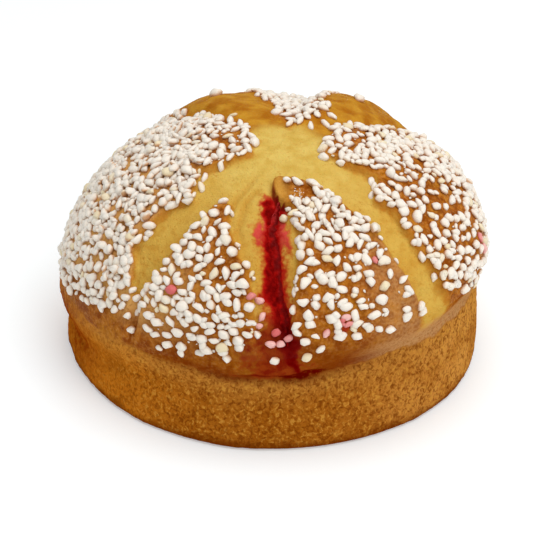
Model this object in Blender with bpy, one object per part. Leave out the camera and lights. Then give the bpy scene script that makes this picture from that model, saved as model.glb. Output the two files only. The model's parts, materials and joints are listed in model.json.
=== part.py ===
"""Round brioche, baked in a low tin: a soft scored dome over a straight side crust.

Metres, +Z up. The loaf stands on its flat base at z = 0, with its axis on Z.
Azimuths are degrees about Z from +X, so -90 is the front of the loaf.
"""

import math
import random
from collections import namedtuple

import bmesh
import bpy
from mathutils import Matrix, Vector
from mathutils.bvhtree import BVHTree

# The tin and the loaf that rose out of it.
BASE_RADIUS = 0.0815
WALL_RADIUS = 0.0797
DOME_RADIUS = 0.0837
WAIST_HEIGHT = 0.0385
FLARE_LENGTH = 0.0140
LOAF_HEIGHT = 0.0940
BASE_ROUNDING = 0.0024
WALL_BULGE = 0.0008
DOME_FULLNESS = 0.914
DOME_RISE = 1.056

# The dough rose unevenly: waves round the loaf as (lobes, amount, azimuth of a crest).
BASE_WAVES = ((2, 0.0066, -31.7), (3, 0.0094, -54.9), (4, 0.0091, -19.5))
DOME_WAVES = ((2, 0.0240, -57.9), (3, 0.0234, -45.8))
WAIST_WAVES = ((1, 0.0127, -16.0),)

# Where the glazed dome meets the bare side, and the crease that shows there at the front.
SEAM_HEIGHT = 0.0344
SEAM_DIP = 0.0034
CREASE_DEPTH = 0.0016
CREASE_HALF_HEIGHT = 0.0020
CREASE_AZIMUTH = -93.0
CREASE_REACH = 38.0

# Star of scores cut before baking, opened by the oven. Widths are on either side of the
# score's line, clockwise and then anticlockwise, each as a pair: near the score centre, and
# further out. The depth is how far the opened dough lies below the petals, and the edge is the
# width of the slope between them.
Score = namedtuple("Score", "azimuth clockwise anticlockwise depth edge")
SCORE_CENTRE = Vector((0.0035, -0.0187))
SCORES = (
    Score(-144.8, (0.0090, 0.0080), (0.0065, 0.0075), 0.0022, 0.0030),
    Score(-93.4, (0.0160, 0.0056), (0.0040, 0.0080), 0.0022, 0.0030),
    Score(-42.0, (0.0056, 0.0048), (0.0130, 0.0062), 0.0022, 0.0030),
    Score(9.5, (0.0014, 0.0014), (0.0014, 0.0014), 0.0010, 0.0040),
    Score(60.9, (0.0090, 0.0160), (0.0040, 0.0090), 0.0004, 0.0040),
    Score(112.3, (0.0090, 0.0120), (0.0075, 0.0160), 0.0004, 0.0040),
    Score(163.7, (0.0014, 0.0014), (0.0014, 0.0014), 0.0010, 0.0040),
)
NEAR_REACH = 0.034
FAR_REACH = 0.052
FRONT_SCORE = SCORES[1]
SCORE_HEART = 0.0150
HEART_DEPTH = 0.0011
RELIEF_FADE = 0.2

# Behind the score centre the opened dough swelled and the petals between sank: tables of
# (azimuth from the score centre, rise), which come in with the distance from it.
SWELLS = (
    (22.0, 0.0), (31.0, 0.0002), (42.0, -0.0032), (52.0, 0.0002), (61.0, 0.0026), (68.0, 0.0022),
    (80.0, -0.0034), (90.0, -0.0028), (105.0, 0.0011), (117.0, 0.0030), (123.0, 0.0022), (132.0, -0.0030),
    (142.0, -0.0010), (150.0, 0.0),
)
SWELL_START = 0.010
SWELL_FULL = 0.055

# Columns of the skin across an opened score and across a petal, and its rings.
SCORE_COLUMNS = (-1.0, -0.55, 0.0, 0.55)
PETAL_COLUMNS = 6
DOME_RINGS = 16
FLARE_RINGS = 5
WALL_RINGS = 2
ROUNDING_RINGS = 2

# Furrow along the front score, from the first of these distances from the score centre to the
# last. At each it lies to the side of the score's line, anticlockwise where positive.
FURROW_DEPTH = 0.0024
FURROW_HALF_WIDTH = 0.0042
FURROW_START = 0.0155
FURROW_RUN_IN = 0.010
FURROW_BENDS = (
    (0.024, 0.0004), (0.038, -0.0018), (0.047, 0.0004), (0.056, 0.0018), (0.062, 0.0042), (0.066, 0.0068),
)

# Red fruit filling that shows in the furrow, as a vein that runs into the crumb and tapers
# to both ends. The ends are angles up the dome, 0 at the waist and 90 at the top. The waves
# along it are (lobes, amount, angle of a crest), with the whole length as one turn.
FILLING_TOP = 70.0
FILLING_FOOT = 6.0
FILLING_WIDTH = 0.0052
FILLING_ROOT_WIDTH = 0.0022
FILLING_WAVES = ((2, 0.16, 100.0), (3, 0.08, 30.0))
FILLING_TAPER = 0.22
FILLING_END_WIDTH = 0.30
FILLING_END_DEPTH = 0.40
FILLING_DEPTH = 0.0200
FILLING_SHOULDER_DEPTH = 0.0060
FILLING_SHOULDER_WIDTH = 0.7
FILLING_SINK = 0.0007
FILLING_FIT = 0.0003
FILLING_STATIONS = 16

# Pearl sugar: nibs as (long, wide, thick), set into the glaze on the petals.
NIB_SIZES = ((0.0056, 0.0042, 0.0036), (0.0048, 0.0040, 0.0034), (0.0042, 0.0038, 0.0034))
NIB_COUNT = 190
NIB_SPACING = 0.0088
NIB_TRIES = 6000
NIB_SINK = 0.25
NIB_SEED = 41
NIB_TILT = 23.0
NIB_LOWEST = 0.0070
NIB_DROP = 0.0100
NIB_MARGIN = 0.0022

# Surfaces.
CRUST_COLOUR = (0.52, 0.25, 0.06)
CRUST_ROUGHNESS = 0.55
FRUIT_COLOUR = (0.36, 0.01, 0.02)
FRUIT_ROUGHNESS = 0.25
SHARP_ANGLE = 35.0

NORMAL_STEP = 0.0002
RIM_ACCURACY = 1e-8

TURN = 2.0 * math.pi


def smooth_step(low, high, value):
    """Rise from 0 at low to 1 at high, level at both ends."""
    share = min(1.0, max(0.0, (value - low) / (high - low)))
    return share * share * (3.0 - 2.0 * share)


def mix(start, end, share):
    return start + (end - start) * share


def waves(azimuth, table):
    """Sum of the cosine waves that a table gives at an azimuth in radians."""
    return sum(amount * math.cos(lobes * (azimuth - math.radians(crest))) for lobes, amount, crest in table)


def turn_from(azimuth, place):
    """Signed angle in degrees from a place round the loaf to an azimuth in radians."""
    return (math.degrees(azimuth) - place + 180.0) % 360.0 - 180.0


def lobe(azimuth, place, reach):
    """Smooth swelling round the loaf: 1 at its place and 0 beyond its reach, both in degrees."""
    return 1.0 - smooth_step(0.0, reach, abs(turn_from(azimuth, place)))


def along(table, place):
    """Value at a place along a table of (place, value), eased between its entries."""
    for (start, value), (end, following) in zip(table, table[1:]):
        if place < end:
            return mix(value, following, smooth_step(start, end, place))
    return table[-1][1]


def dome_radius(azimuth):
    return DOME_RADIUS * (1.0 + waves(azimuth, DOME_WAVES))


def waist_height(azimuth):
    """Height of the widest part, where the dome begins."""
    return WAIST_HEIGHT + waves(azimuth, WAIST_WAVES)


def wall_top(azimuth):
    """Height where the wall begins to flare into the dome."""
    return waist_height(azimuth) - FLARE_LENGTH


def seam_height(azimuth):
    """Height of the border between the glazed dome and the bare side."""
    return SEAM_HEIGHT - SEAM_DIP * lobe(azimuth, CREASE_AZIMUTH, CREASE_REACH)


def side_radius(azimuth, height):
    """Radius of the side below the waist: a rounded foot, a wall, and a flare into the dome."""
    uneven = 1.0 + waves(azimuth, BASE_WAVES)
    share = min(1.0, height / wall_top(azimuth))
    wall = mix(BASE_RADIUS, WALL_RADIUS, share) * uneven + WALL_BULGE * math.sin(math.pi * share)
    foot = max(0.0, 1.0 - height / BASE_ROUNDING)
    wall -= BASE_ROUNDING * (1.0 - math.sqrt(1.0 - foot * foot))
    flare = smooth_step(wall_top(azimuth), waist_height(azimuth), height)
    off_seam = (height - seam_height(azimuth)) / CREASE_HALF_HEIGHT
    crease = CREASE_DEPTH * math.exp(-off_seam * off_seam) * lobe(azimuth, CREASE_AZIMUTH, CREASE_REACH)
    return wall + (dome_radius(azimuth) - WALL_RADIUS * uneven) * flare - crease


def dome_height(x, y):
    """Height of the unscored dome over a point of the plan inside its rim."""
    azimuth = math.atan2(y, x)
    share = min(1.0, math.hypot(x, y) / dome_radius(azimuth))
    rise = math.sqrt(1.0 - share ** (2.0 / DOME_FULLNESS)) ** DOME_RISE
    return waist_height(azimuth) + (LOAF_HEIGHT - waist_height(azimuth)) * rise


def star_place(x, y):
    """Distance and azimuth from the score centre, the nearest score, and the side distance from it."""
    offset = Vector((x, y)) - SCORE_CENTRE
    distance = offset.length
    azimuth = math.atan2(offset.y, offset.x)
    places = []
    for score in SCORES:
        turn = math.radians(turn_from(azimuth, score.azimuth))
        side = distance * math.sin(turn) if abs(turn) < math.pi / 2 else math.copysign(distance, turn)
        near_width, far_width = score.anticlockwise if turn > 0.0 else score.clockwise
        half_width = mix(near_width, far_width, smooth_step(NEAR_REACH, FAR_REACH, distance))
        places.append((abs(side) - half_width, side, score))
    beyond, side, score = min(places, key=lambda place: place[0])
    return distance, azimuth, score, side, beyond


def relief(x, y):
    """Rise of the skin over the plain dome, from the opened scores and the swelling behind."""
    distance, azimuth, score, side, beyond = star_place(x, y)
    opened = 1.0 - smooth_step(-score.edge / 2, score.edge / 2, beyond)
    heart = 1.0 - smooth_step(SCORE_HEART - score.edge, SCORE_HEART + score.edge, distance)
    rise = mix(-score.depth * opened, -HEART_DEPTH, heart)
    rise += along(SWELLS, math.degrees(azimuth) % 360.0) * smooth_step(SWELL_START, SWELL_FULL, distance)
    if score is FRONT_SCORE:
        run_in = smooth_step(FURROW_START, FURROW_START + FURROW_RUN_IN, distance)
        off_furrow = (side - along(FURROW_BENDS, distance)) / FURROW_HALF_WIDTH
        rise -= FURROW_DEPTH * run_in * math.exp(-off_furrow * off_furrow)
    waist = waist_height(math.atan2(y, x))
    return rise * smooth_step(0.0, RELIEF_FADE, (dome_height(x, y) - waist) / (LOAF_HEIGHT - waist))


def dome_normal(x, y):
    """Outward normal of the unscored dome over a point of the plan."""
    step = NORMAL_STEP
    slope_x = (dome_height(x + step, y) - dome_height(x - step, y)) / (2.0 * step)
    slope_y = (dome_height(x, y + step) - dome_height(x, y - step)) / (2.0 * step)
    return Vector((-slope_x, -slope_y, 1.0)).normalized()


def dome_point(x, y):
    """Point of the scored skin over a point of the plan."""
    return Vector((x, y, dome_height(x, y))) + dome_normal(x, y) * relief(x, y)


def rim_share(angle):
    """Share of the way out to the rim at an angle up the dome, in degrees."""
    return math.cos(math.radians(angle)) ** DOME_FULLNESS


def rim_point(direction):
    """Plan point where a line from the score centre, at a direction in radians, meets the rim."""
    line = Vector((math.cos(direction), math.sin(direction)))
    inside, outside = 0.0, 2.0 * DOME_RADIUS
    while outside - inside > RIM_ACCURACY:
        middle = (inside + outside) / 2.0
        point = SCORE_CENTRE + line * middle
        if point.length < dome_radius(math.atan2(point.y, point.x)):
            inside = middle
        else:
            outside = middle
    return SCORE_CENTRE + line * inside


def side_point(azimuth, height):
    radius = side_radius(azimuth, height)
    return Vector((radius * math.cos(azimuth), radius * math.sin(azimuth), height))


def column_directions():
    """Directions from the score centre of the skin's columns: close over scores, even over petals."""
    directions = []
    for index, score in enumerate(SCORES):
        centre = math.radians(score.azimuth)
        following = SCORES[(index + 1) % len(SCORES)]
        edge = centre + (score.anticlockwise[1] + score.edge / 2) / FAR_REACH
        next_centre = math.radians(following.azimuth) % TURN
        next_edge = next_centre - (following.clockwise[1] + following.edge / 2) / FAR_REACH
        next_edge = edge + (next_edge - edge) % TURN
        for share in SCORE_COLUMNS:
            half_width = score.anticlockwise[1] if share > 0.0 else score.clockwise[1]
            directions.append(centre + share * (half_width + score.edge / 2) / FAR_REACH)
        for step in range(PETAL_COLUMNS):
            directions.append(edge + (next_edge - edge) * step / PETAL_COLUMNS)
    return directions


def skin_rings():
    """Rings of points from the base to the top, one point for each column."""
    rims = [rim_point(direction) for direction in column_directions()]
    azimuths = [math.atan2(rim.y, rim.x) for rim in rims]

    rings = []
    for step in range(ROUNDING_RINGS + 1):
        height = BASE_ROUNDING * (1.0 - math.cos(math.pi / 2 * step / ROUNDING_RINGS))
        rings.append([side_point(azimuth, height) for azimuth in azimuths])
    for step in range(1, WALL_RINGS + 1):
        share = step / (WALL_RINGS + 1)
        heights = [mix(BASE_ROUNDING, wall_top(azimuth), share) for azimuth in azimuths]
        rings.append([side_point(*place) for place in zip(azimuths, heights)])
    for step in range(FLARE_RINGS):
        rise = FLARE_LENGTH * step / FLARE_RINGS
        rings.append([side_point(azimuth, wall_top(azimuth) + rise) for azimuth in azimuths])
    for step in range(DOME_RINGS):
        share = rim_share(90.0 * step / DOME_RINGS)
        rings.append([dome_point(*mix(SCORE_CENTRE, rim, share)) for rim in rims])
    return rings


def material(name, colour, roughness):
    """Principled material of one plain food surface."""
    made = bpy.data.materials.new(name)
    made.use_nodes = True
    shader = made.node_tree.nodes["Principled BSDF"]
    shader.inputs["Base Color"].default_value = (*colour, 1.0)
    shader.inputs["Roughness"].default_value = roughness
    shader.inputs["Metallic"].default_value = 0.0
    return made


def finish_object(name, mesh, collection):
    made = bpy.data.objects.new(name, mesh)
    collection.objects.link(made)
    return made


def loft(rings, last_point=None):
    """Closed mesh through rings of points, filled flat or fanned to a point at the last one."""
    shape = bmesh.new()
    loops = [[shape.verts.new(point) for point in ring] for ring in rings]
    count = len(rings[0])
    for lower, upper in zip(loops, loops[1:]):
        for index in range(count):
            following = (index + 1) % count
            shape.faces.new((lower[index], lower[following], upper[following], upper[index]))
    shape.faces.new(loops[0])
    if last_point is None:
        shape.faces.new(loops[-1])
    else:
        tip = shape.verts.new(last_point)
        for index in range(count):
            shape.faces.new((loops[-1][index], loops[-1][(index + 1) % count], tip))
    bmesh.ops.recalc_face_normals(shape, faces=shape.faces)
    return shape


def mesh_from(shape, name):
    mesh = bpy.data.meshes.new(name)
    shape.to_mesh(mesh)
    shape.free()
    return mesh


def make_loaf(collection):
    """The loaf's skin, from its flat base to the score centre on the dome."""
    shape = loft(skin_rings(), last_point=dome_point(*SCORE_CENTRE))
    return finish_object("brioche", mesh_from(shape, "brioche"), collection)


def filling_section(share, fit):
    """One cross-section of the filling vein: a wedge set into the furrow of the front score."""
    direction = math.radians(FRONT_SCORE.azimuth)
    across = Vector((-math.sin(direction), math.cos(direction), 0.0))
    plan = mix(SCORE_CENTRE, rim_point(direction), rim_share(mix(FILLING_TOP, FILLING_FOOT, share)))
    plan += across.xy * along(FURROW_BENDS, (plan - SCORE_CENTRE).length)
    mouth = dome_point(*plan)
    inward = -dome_normal(*plan)
    fullness = smooth_step(0.0, FILLING_TAPER, min(share, 1.0 - share))
    swell = 1.0 + waves(TURN * share, FILLING_WAVES)
    half_width = FILLING_WIDTH / 2 * swell * mix(FILLING_END_WIDTH, 1.0, fullness) + fit
    half_root = FILLING_ROOT_WIDTH / 2 * mix(FILLING_END_WIDTH, 1.0, fullness) + fit
    depth = FILLING_DEPTH * mix(FILLING_END_DEPTH, 1.0, fullness) + fit
    levels = [(FILLING_SINK, 1.0), (FILLING_SHOULDER_DEPTH, FILLING_SHOULDER_WIDTH), (depth, 0.0)]
    if fit > 0.0:
        levels.insert(0, (-FILLING_WIDTH, 1.0))
    left = [mouth + inward * level - across * mix(half_root, half_width, part) for level, part in levels]
    right = [mouth + inward * level + across * mix(half_root, half_width, part) for level, part in levels]
    return right + left[::-1]


def make_filling(collection, name, fit):
    """The filling vein, or with a fit the larger cutter that makes room for it."""
    sections = [filling_section(step / FILLING_STATIONS, fit) for step in range(FILLING_STATIONS + 1)]
    if fit > 0.0:
        for end, neighbour in ((0, 1), (-1, -2)):
            beyond = sum(sections[end], Vector()) - sum(sections[neighbour], Vector())
            sections[end] = [point + beyond.normalized() * fit for point in sections[end]]
    return finish_object(name, mesh_from(loft(sections), name), collection)


def apply_modifiers(piece):
    """Replace a piece's mesh by what its modifiers make of it."""
    graph = bpy.context.evaluated_depsgraph_get()
    made = bpy.data.meshes.new_from_object(piece.evaluated_get(graph))
    piece.modifiers.clear()
    piece.data = made


def cut(piece, cutter):
    """Cut one piece out of another and remove the cutter."""
    cutter.hide_render = True
    cutter.display_type = "WIRE"
    boolean = piece.modifiers.new("cut", "BOOLEAN")
    boolean.operation = "DIFFERENCE"
    boolean.object = cutter
    apply_modifiers(piece)
    bpy.data.objects.remove(cutter)


def nib_places(chance):
    """Spread nibs over the petals, none nearer another than their spacing."""
    places = []
    for _ in range(NIB_TRIES):
        azimuth = chance.uniform(0.0, TURN)
        radius = dome_radius(azimuth) * rim_share(math.degrees(math.asin(chance.uniform(0.0, 1.0))))
        x = radius * math.cos(azimuth)
        y = radius * math.sin(azimuth)
        point = dome_point(x, y)
        distance, *_, beyond = star_place(x, y)
        clear = beyond > NIB_MARGIN and distance > SCORE_HEART + NIB_MARGIN
        high = point.z > seam_height(azimuth) + NIB_LOWEST
        spaced = all((point - other).length > NIB_SPACING for other, _ in places)
        if clear and high and spaced:
            places.append((point, dome_normal(x, y)))
    return places[:NIB_COUNT]


def make_nibs(collection, loaf):
    """Pearl sugar nibs dropped onto the loaf and set into its glaze, the largest first."""
    chance = random.Random(NIB_SEED)
    skin = BVHTree.FromPolygons([vertex.co for vertex in loaf.data.vertices],
                                [face.vertices for face in loaf.data.polygons])
    places = nib_places(chance)
    for index, (point, normal) in enumerate(places):
        size = Vector(NIB_SIZES[index * len(NIB_SIZES) // len(places)])
        seat = normal.to_track_quat("Z", "Y").to_matrix().to_4x4()
        spin = Matrix.Rotation(chance.uniform(0.0, TURN), 4, "Z")
        tilt = math.radians(NIB_TILT)
        tip = Matrix.Rotation(chance.uniform(-tilt, tilt), 4, "X")
        seat_point, *_ = skin.ray_cast(point + normal * NIB_DROP, -normal)
        middle = seat_point + normal * size.z * (0.5 - NIB_SINK)
        place = Matrix.Translation(middle) @ seat @ spin @ tip @ Matrix.Diagonal((*(size / 2), 1.0))
        shape = bmesh.new()
        bmesh.ops.create_icosphere(shape, subdivisions=1, radius=1.0, matrix=place)
        finish_object("nib_%03d" % index, mesh_from(shape, "nib"), collection)


def fuse(piece, collection):
    """Join everything in a collection to a piece and remove the collection."""
    boolean = piece.modifiers.new("fuse", "BOOLEAN")
    boolean.operation = "UNION"
    boolean.operand_type = "COLLECTION"
    boolean.collection = collection
    apply_modifiers(piece)
    for item in list(collection.objects):
        bpy.data.objects.remove(item)
    bpy.data.collections.remove(collection)


def shade_round(piece, surface):
    """Round pieces are shaded smooth, with their creases kept."""
    piece.data.materials.clear()
    piece.data.materials.append(surface)
    piece.data.shade_smooth()
    piece.data.set_sharp_from_angle(angle=math.radians(SHARP_ANGLE))


def main():
    for item in list(bpy.data.objects):
        bpy.data.objects.remove(item)
    collection = bpy.context.scene.collection
    loaf = make_loaf(collection)
    cut(loaf, make_filling(collection, "filling_room", FILLING_FIT))
    sugar = bpy.data.collections.new("sugar")
    collection.children.link(sugar)
    make_nibs(sugar, loaf)
    fuse(loaf, sugar)
    shade_round(loaf, material("golden_crust", CRUST_COLOUR, CRUST_ROUGHNESS))
    filling = make_filling(collection, "red_filling", 0.0)
    shade_round(filling, material("red_fruit", FRUIT_COLOUR, FRUIT_ROUGHNESS))


main()
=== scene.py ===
"""Looks of a round filled brioche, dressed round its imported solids.

Metres, +Z up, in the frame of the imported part. Azimuths are in degrees about Z from +X, so
-90 is the front. The skin repeats the solid's form on a fine grid and adds what baking left
on it. The pearl sugar and the red filling are pieces of their own.
"""
import itertools
import json
import math
from collections import namedtuple

import bmesh
import bpy
import numpy as np
from mathutils import Matrix, Vector

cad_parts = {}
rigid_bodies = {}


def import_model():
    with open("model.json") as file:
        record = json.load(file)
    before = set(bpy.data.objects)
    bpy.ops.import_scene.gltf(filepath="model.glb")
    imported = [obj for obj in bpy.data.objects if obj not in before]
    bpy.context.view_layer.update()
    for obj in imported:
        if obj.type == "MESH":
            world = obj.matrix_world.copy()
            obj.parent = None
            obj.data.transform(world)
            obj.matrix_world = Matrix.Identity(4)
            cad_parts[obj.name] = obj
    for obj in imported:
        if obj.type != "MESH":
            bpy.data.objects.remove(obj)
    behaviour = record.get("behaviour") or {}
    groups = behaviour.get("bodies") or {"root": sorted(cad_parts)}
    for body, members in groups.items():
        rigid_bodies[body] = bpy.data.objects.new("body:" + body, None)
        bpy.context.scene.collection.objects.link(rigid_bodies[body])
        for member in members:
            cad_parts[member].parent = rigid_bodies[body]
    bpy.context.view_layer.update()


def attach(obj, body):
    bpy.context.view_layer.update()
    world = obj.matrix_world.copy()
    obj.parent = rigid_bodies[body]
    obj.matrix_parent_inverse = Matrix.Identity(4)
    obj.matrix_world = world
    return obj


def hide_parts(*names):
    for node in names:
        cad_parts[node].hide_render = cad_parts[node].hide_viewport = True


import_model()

TURN = 2.0 * math.pi
MM = 0.001
FAR_OFF = 0.1

# Form of the loaf, as in its solid.
BASE_RADIUS = 0.0815
WALL_RADIUS = 0.0797
DOME_RADIUS = 0.0837
WAIST_HEIGHT = 0.0385
FLARE_LENGTH = 0.0140
LOAF_HEIGHT = 0.0940
BASE_ROUNDING = 0.0024
WALL_BULGE = 0.0008
DOME_FULLNESS = 0.914
DOME_RISE = 1.056
BASE_WAVES = ((2, 0.0066, -31.7), (3, 0.0094, -54.9), (4, 0.0091, -19.5))
DOME_WAVES = ((2, 0.0240, -57.9), (3, 0.0234, -45.8))
WAIST_WAVES = ((1, 0.0127, -16.0),)
SEAM_HEIGHT = 0.0344
SEAM_DIP = 0.0034
CREASE_DEPTH = 0.0016
CREASE_HALF_HEIGHT = 0.0020
CREASE_AZIMUTH = -93.0
CREASE_REACH = 38.0
RELIEF_FADE = 0.2

# Star of scores. Each petal of glazed crust lies between two edges, which are tables of
# (distance from the score centre, azimuth), and begins at its tip.
SCORE_CENTRE = np.array((0.0035, -0.0187))
Petal = namedtuple("Petal", "tip clockwise anticlockwise")
FRONT_RIGHT = Petal(
    0.0165,
    ((0.016, -91), (0.0185, -99), (0.0225, -99), (0.0245, -96), (0.0272, -90), (0.030, -85), (0.040, -81),
     (0.055, -85), (0.064, -87)),
    ((0.016, -75), (0.021, -62), (0.027, -55), (0.037, -50), (0.047, -47), (0.060, -47), (0.070, -45)),
)
RIGHT = Petal(
    0.0160,
    ((0.018, -10), (0.026, -16), (0.036, -18), (0.041, -35), (0.046, -32), (0.055, -36), (0.070, -36),
     (0.076, -33)),
    ((0.016, 21), (0.020, 33), (0.029, 44), (0.036, 45), (0.042, 43), (0.049, 39.5), (0.054, 37.5),
     (0.060, 38), (0.068, 42), (0.076, 46)),
)
BACK = Petal(
    0.0168,
    ((0.017, 79), (0.022, 66), (0.029, 58), (0.035, 60), (0.042, 68), (0.053, 71), (0.090, 73)),
    ((0.017, 82), (0.026, 93), (0.041, 95), (0.048, 99), (0.060, 101), (0.090, 101)),
)
LEFT = Petal(
    0.0110,
    ((0.011, 142), (0.025, 126), (0.037, 128), (0.052, 130), (0.070, 126), (0.090, 126)),
    ((0.012, 196), (0.031, 195), (0.035, 205), (0.039, 211), (0.045, 206), (0.060, 206), (0.064, 212),
     (0.068, 217), (0.076, 218)),
)
FRONT_LEFT = Petal(
    0.0325,
    ((0.033, -130), (0.036, -134), (0.043, -136), (0.057, -138), (0.062, -140), (0.076, -141)),
    ((0.033, -126), (0.038, -121), (0.047, -110), (0.051, -103), (0.057, -100), (0.070, -97)),
)
PETALS = (FRONT_RIGHT, RIGHT, BACK, LEFT, FRONT_LEFT)
EDGE_SLOPE = 0.0024
EDGE_WOBBLE = 0.0007
EDGE_RIPPLES = ((1.0, 0.0065, 3), (0.5, 0.0028, 4))
FRONT_DEPTH = 0.0022
BACK_DEPTH = 0.0004
HEART_DEPTH = 0.0011
HEART_REACH = (0.012, 0.026)
HEART_FRONT_REACH = 0.052
FRONT_AZIMUTH = -93.4
FRONT_REACH = (95.0, 130.0)
LIP_HEIGHT = 0.00045
LIP_HALF_WIDTH = 0.0016
LIP_BEHIND = 0.4

# Scores that stayed shut, as shallow creases in the petals at the sides.
SHUT_SCORES = (
    ((0.030, -16), (0.045, -14.5), (0.052, -11), (0.060, 0), (0.076, 12)),
    ((0.030, 198), (0.049, 188), (0.060, 182), (0.076, 167)),
)
SHUT_DEPTH = 0.0009
SHUT_HALF_WIDTH = 0.0020
SHUT_RUN_IN = (0.024, 0.036)

# Loose tip of the front right petal, which lies over the top of the filling.
FLAP_RISE = 0.0012
FLAP_PLACE = (0.0195, -93.0)
FLAP_SPREAD = (0.0050, 16.0)
FLAP_ROOT = 0.0008

# Swelling and sinking behind the score centre, as (azimuth, rise), and the front furrow.
SWELLS = (
    (22.0, 0.0), (31.0, 0.0002), (42.0, -0.0032), (52.0, 0.0002), (61.0, 0.0026), (68.0, 0.0022),
    (80.0, -0.0034), (90.0, -0.0028), (105.0, 0.0011), (117.0, 0.0030), (123.0, 0.0022), (132.0, -0.0030),
    (142.0, -0.0010), (150.0, 0.0),
)
SWELL_START = 0.010
SWELL_FULL = 0.055
FURROW_DEPTH = 0.0024
FURROW_HALF_WIDTH = 0.0042
FURROW_START = 0.0155
FURROW_RUN_IN = 0.010
FURROW_BENDS = (
    (0.024, 0.0004), (0.038, -0.0018), (0.047, 0.0004), (0.056, 0.0018), (0.062, 0.0042), (0.066, 0.0068),
)

# Soft folds in the opened dough beside the filling: tables of (distance, azimuth).
FOLDS = (
    ((0.020, -114), (0.028, -118), (0.038, -115), (0.046, -108)),
    ((0.018, -124), (0.030, -126), (0.040, -120)),
)
FOLD_DEPTH = 0.0006
FOLD_HALF_WIDTH = 0.0016
FOLD_RUN_IN = (-0.004, 0.004)
FOLD_RUN_OUT = (-0.006, 0.002)

# Fineness of the skin: columns round the loaf, rings up it.
DOME_COLUMNS = 620
DOME_RINGS = 156
WALL_COLUMNS = 1120
WALL_RINGS = 84
WALL_RING_BIAS = 1.15
DOME_TOP_ANGLE = 89.4
DOME_FLOOR = 0.045
WALL_CEILING = 0.040
DOME_SHINE = 0.02
WALL_SHINE = 0.0
SHELL_EDGE_ANGLE = 75.0
NORMAL_STEP = 0.0002
RIM_HALVINGS = 36

# Bare side crust: pores and upright strands.
PORE_SIZE = 0.0019
PORE_DEPTH = 0.00042
PORE_REACH = 0.42
STRAND_DEPTH = 0.00016
STRAND_WIDTH = 0.0011
STRAND_LENGTH = 0.0060
STRAND_RUN_IN = (0.008, 0.030)
STANDING_EDGE = 0.0012
STRAND_SEED = 35
PORE_SEED = 41

# Unevenness of each kind of crust, as ripples: (height, size, seed).
PETAL_RIPPLES = ((0.00030, 0.0075, 31), (0.00013, 0.0027, 32))
DOUGH_RIPPLES = ((0.00022, 0.0060, 33), (0.00007, 0.0019, 34))
SIDE_RIPPLES = ((0.00016, 0.0016, 36), (0.00030, 0.0090, 37))
SEAM_RIPPLES = ((0.0012, 0.006, 11), (0.0006, 0.002, 12))
BAND_FOOT_RIPPLES = ((0.002, 0.008, 13),)
RIM_RIPPLES = ((0.0016, 0.005, 14),)

# Red filling, as in its solid.
FILLING_TOP = 70.0
FILLING_FOOT = 6.0
FILLING_WIDTH = 0.0052
FILLING_ROOT_WIDTH = 0.0022
FILLING_WAVES = ((2, 0.16, 100.0), (3, 0.08, 30.0))
FILLING_TAPER = 0.22
FILLING_END_WIDTH = 0.30
FILLING_END_DEPTH = 0.40
FILLING_DEPTH = 0.0200
FILLING_STATIONS = 150
FILLING_ACROSS = 18
FILLING_CROWN = 0.0009
FILLING_LUMPS = 0.0006
FILLING_ROUNDNESS = 1.6
FILLING_RIPPLES = ((0.6, 0.0028, 51), (0.4, 0.0013, 52))

# Red juice on the crust of the front: (height, x of its left edge, x of its right edge), and
# the dark fruit within it, darkened also by painted shadow: (height, x of its middle, half its width).
JUICE_EDGES = (
    (0.031, -0.0125, 0.0150), (0.038, -0.0115, 0.0138), (0.045, -0.0100, 0.0130), (0.050, -0.0088, 0.0108),
    (0.055, -0.0070, 0.0082), (0.060, -0.0052, 0.0074), (0.065, -0.0056, 0.0062), (0.070, -0.0044, 0.0052),
    (0.0750, -0.0060, 0.0058), (0.0790, -0.0068, 0.0062), (0.0835, -0.0050, 0.0050),
    (0.0865, -0.0046, 0.0060), (0.0895, -0.0024, 0.0044),
)
FRUIT_PATH = (
    (0.0315, 0.0100, 0.0006), (0.037, 0.0090, 0.0012), (0.042, 0.0066, 0.0026), (0.0475, 0.0062, 0.0046),
    (0.052, 0.0048, 0.0044), (0.057, 0.0024, 0.0044), (0.062, 0.0006, 0.0046), (0.066, -0.0004, 0.0044),
    (0.071, -0.0006, 0.0041), (0.0755, -0.0006, 0.0037), (0.079, -0.0004, 0.0035), (0.082, -0.0012, 0.0046),
    (0.085, -0.0002, 0.0040), (0.0880, 0.0006, 0.0022),
)
BAND_RIPPLES = ((0.34, 0.0048, 21), (0.26, 0.0021, 22), (0.10, 0.0011, 23))
BAND_FADE = (0.15, 1.30)
# Places where the juice runs wider: (x, height, half its width, half its height).
JUICE_LOBES = ((-0.0050, 0.0772, 0.0017, 0.0027), (0.0052, 0.0766, 0.0015, 0.0028))
JUICE_LOBE_RIPPLES = ((0.45, 0.0022, 24),)
# Where the juice shows at all: how far forward, how far from the score centre and how high.
JUICE_FRONT = (0.015, 0.025)
JUICE_START = (0.0215, 0.0245)
JUICE_FOOT = (0.0295, 0.0325)
# Juice and fruit that lie beside the filling: half their width, heights where they come in,
# their azimuth and reach, and how strong each is.
BESIDE_WIDTH = 0.0034
BESIDE_HEIGHTS = (0.045, 0.056)
BESIDE_LOBE = (-90.0, 20.0)
BESIDE_JUICE = 1.1
BESIDE_FRUIT = 0.95

# Marks on the skin. A lobe is an azimuth and a reach, in tables with a share before them. Other
# pairs are the two ends of a change, unless they are said to be a place and half a width.
INTO_LIMIT = 8.0
LOBE_EDGE = (0.0, 0.35)
SEAM_EDGE = (-0.001, 0.001)
# Painted sheen at the foot of the glaze, and a patch of painted sheen on the front right petal.
SHEEN_LOBES = ((1.0, -32.0, 46.0), (0.3, -168.0, 14.0))
SHEEN_TOP = (0.008, 0.016)
SHEEN_PATCH_LOBE = (-50.0, 17.0)
SHEEN_PATCH_START = (0.044, 0.060)
SHEEN_PATCH_EDGE = (-0.0005, 0.0015)
SHEEN_PATCH_SHARE = 0.6
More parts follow.
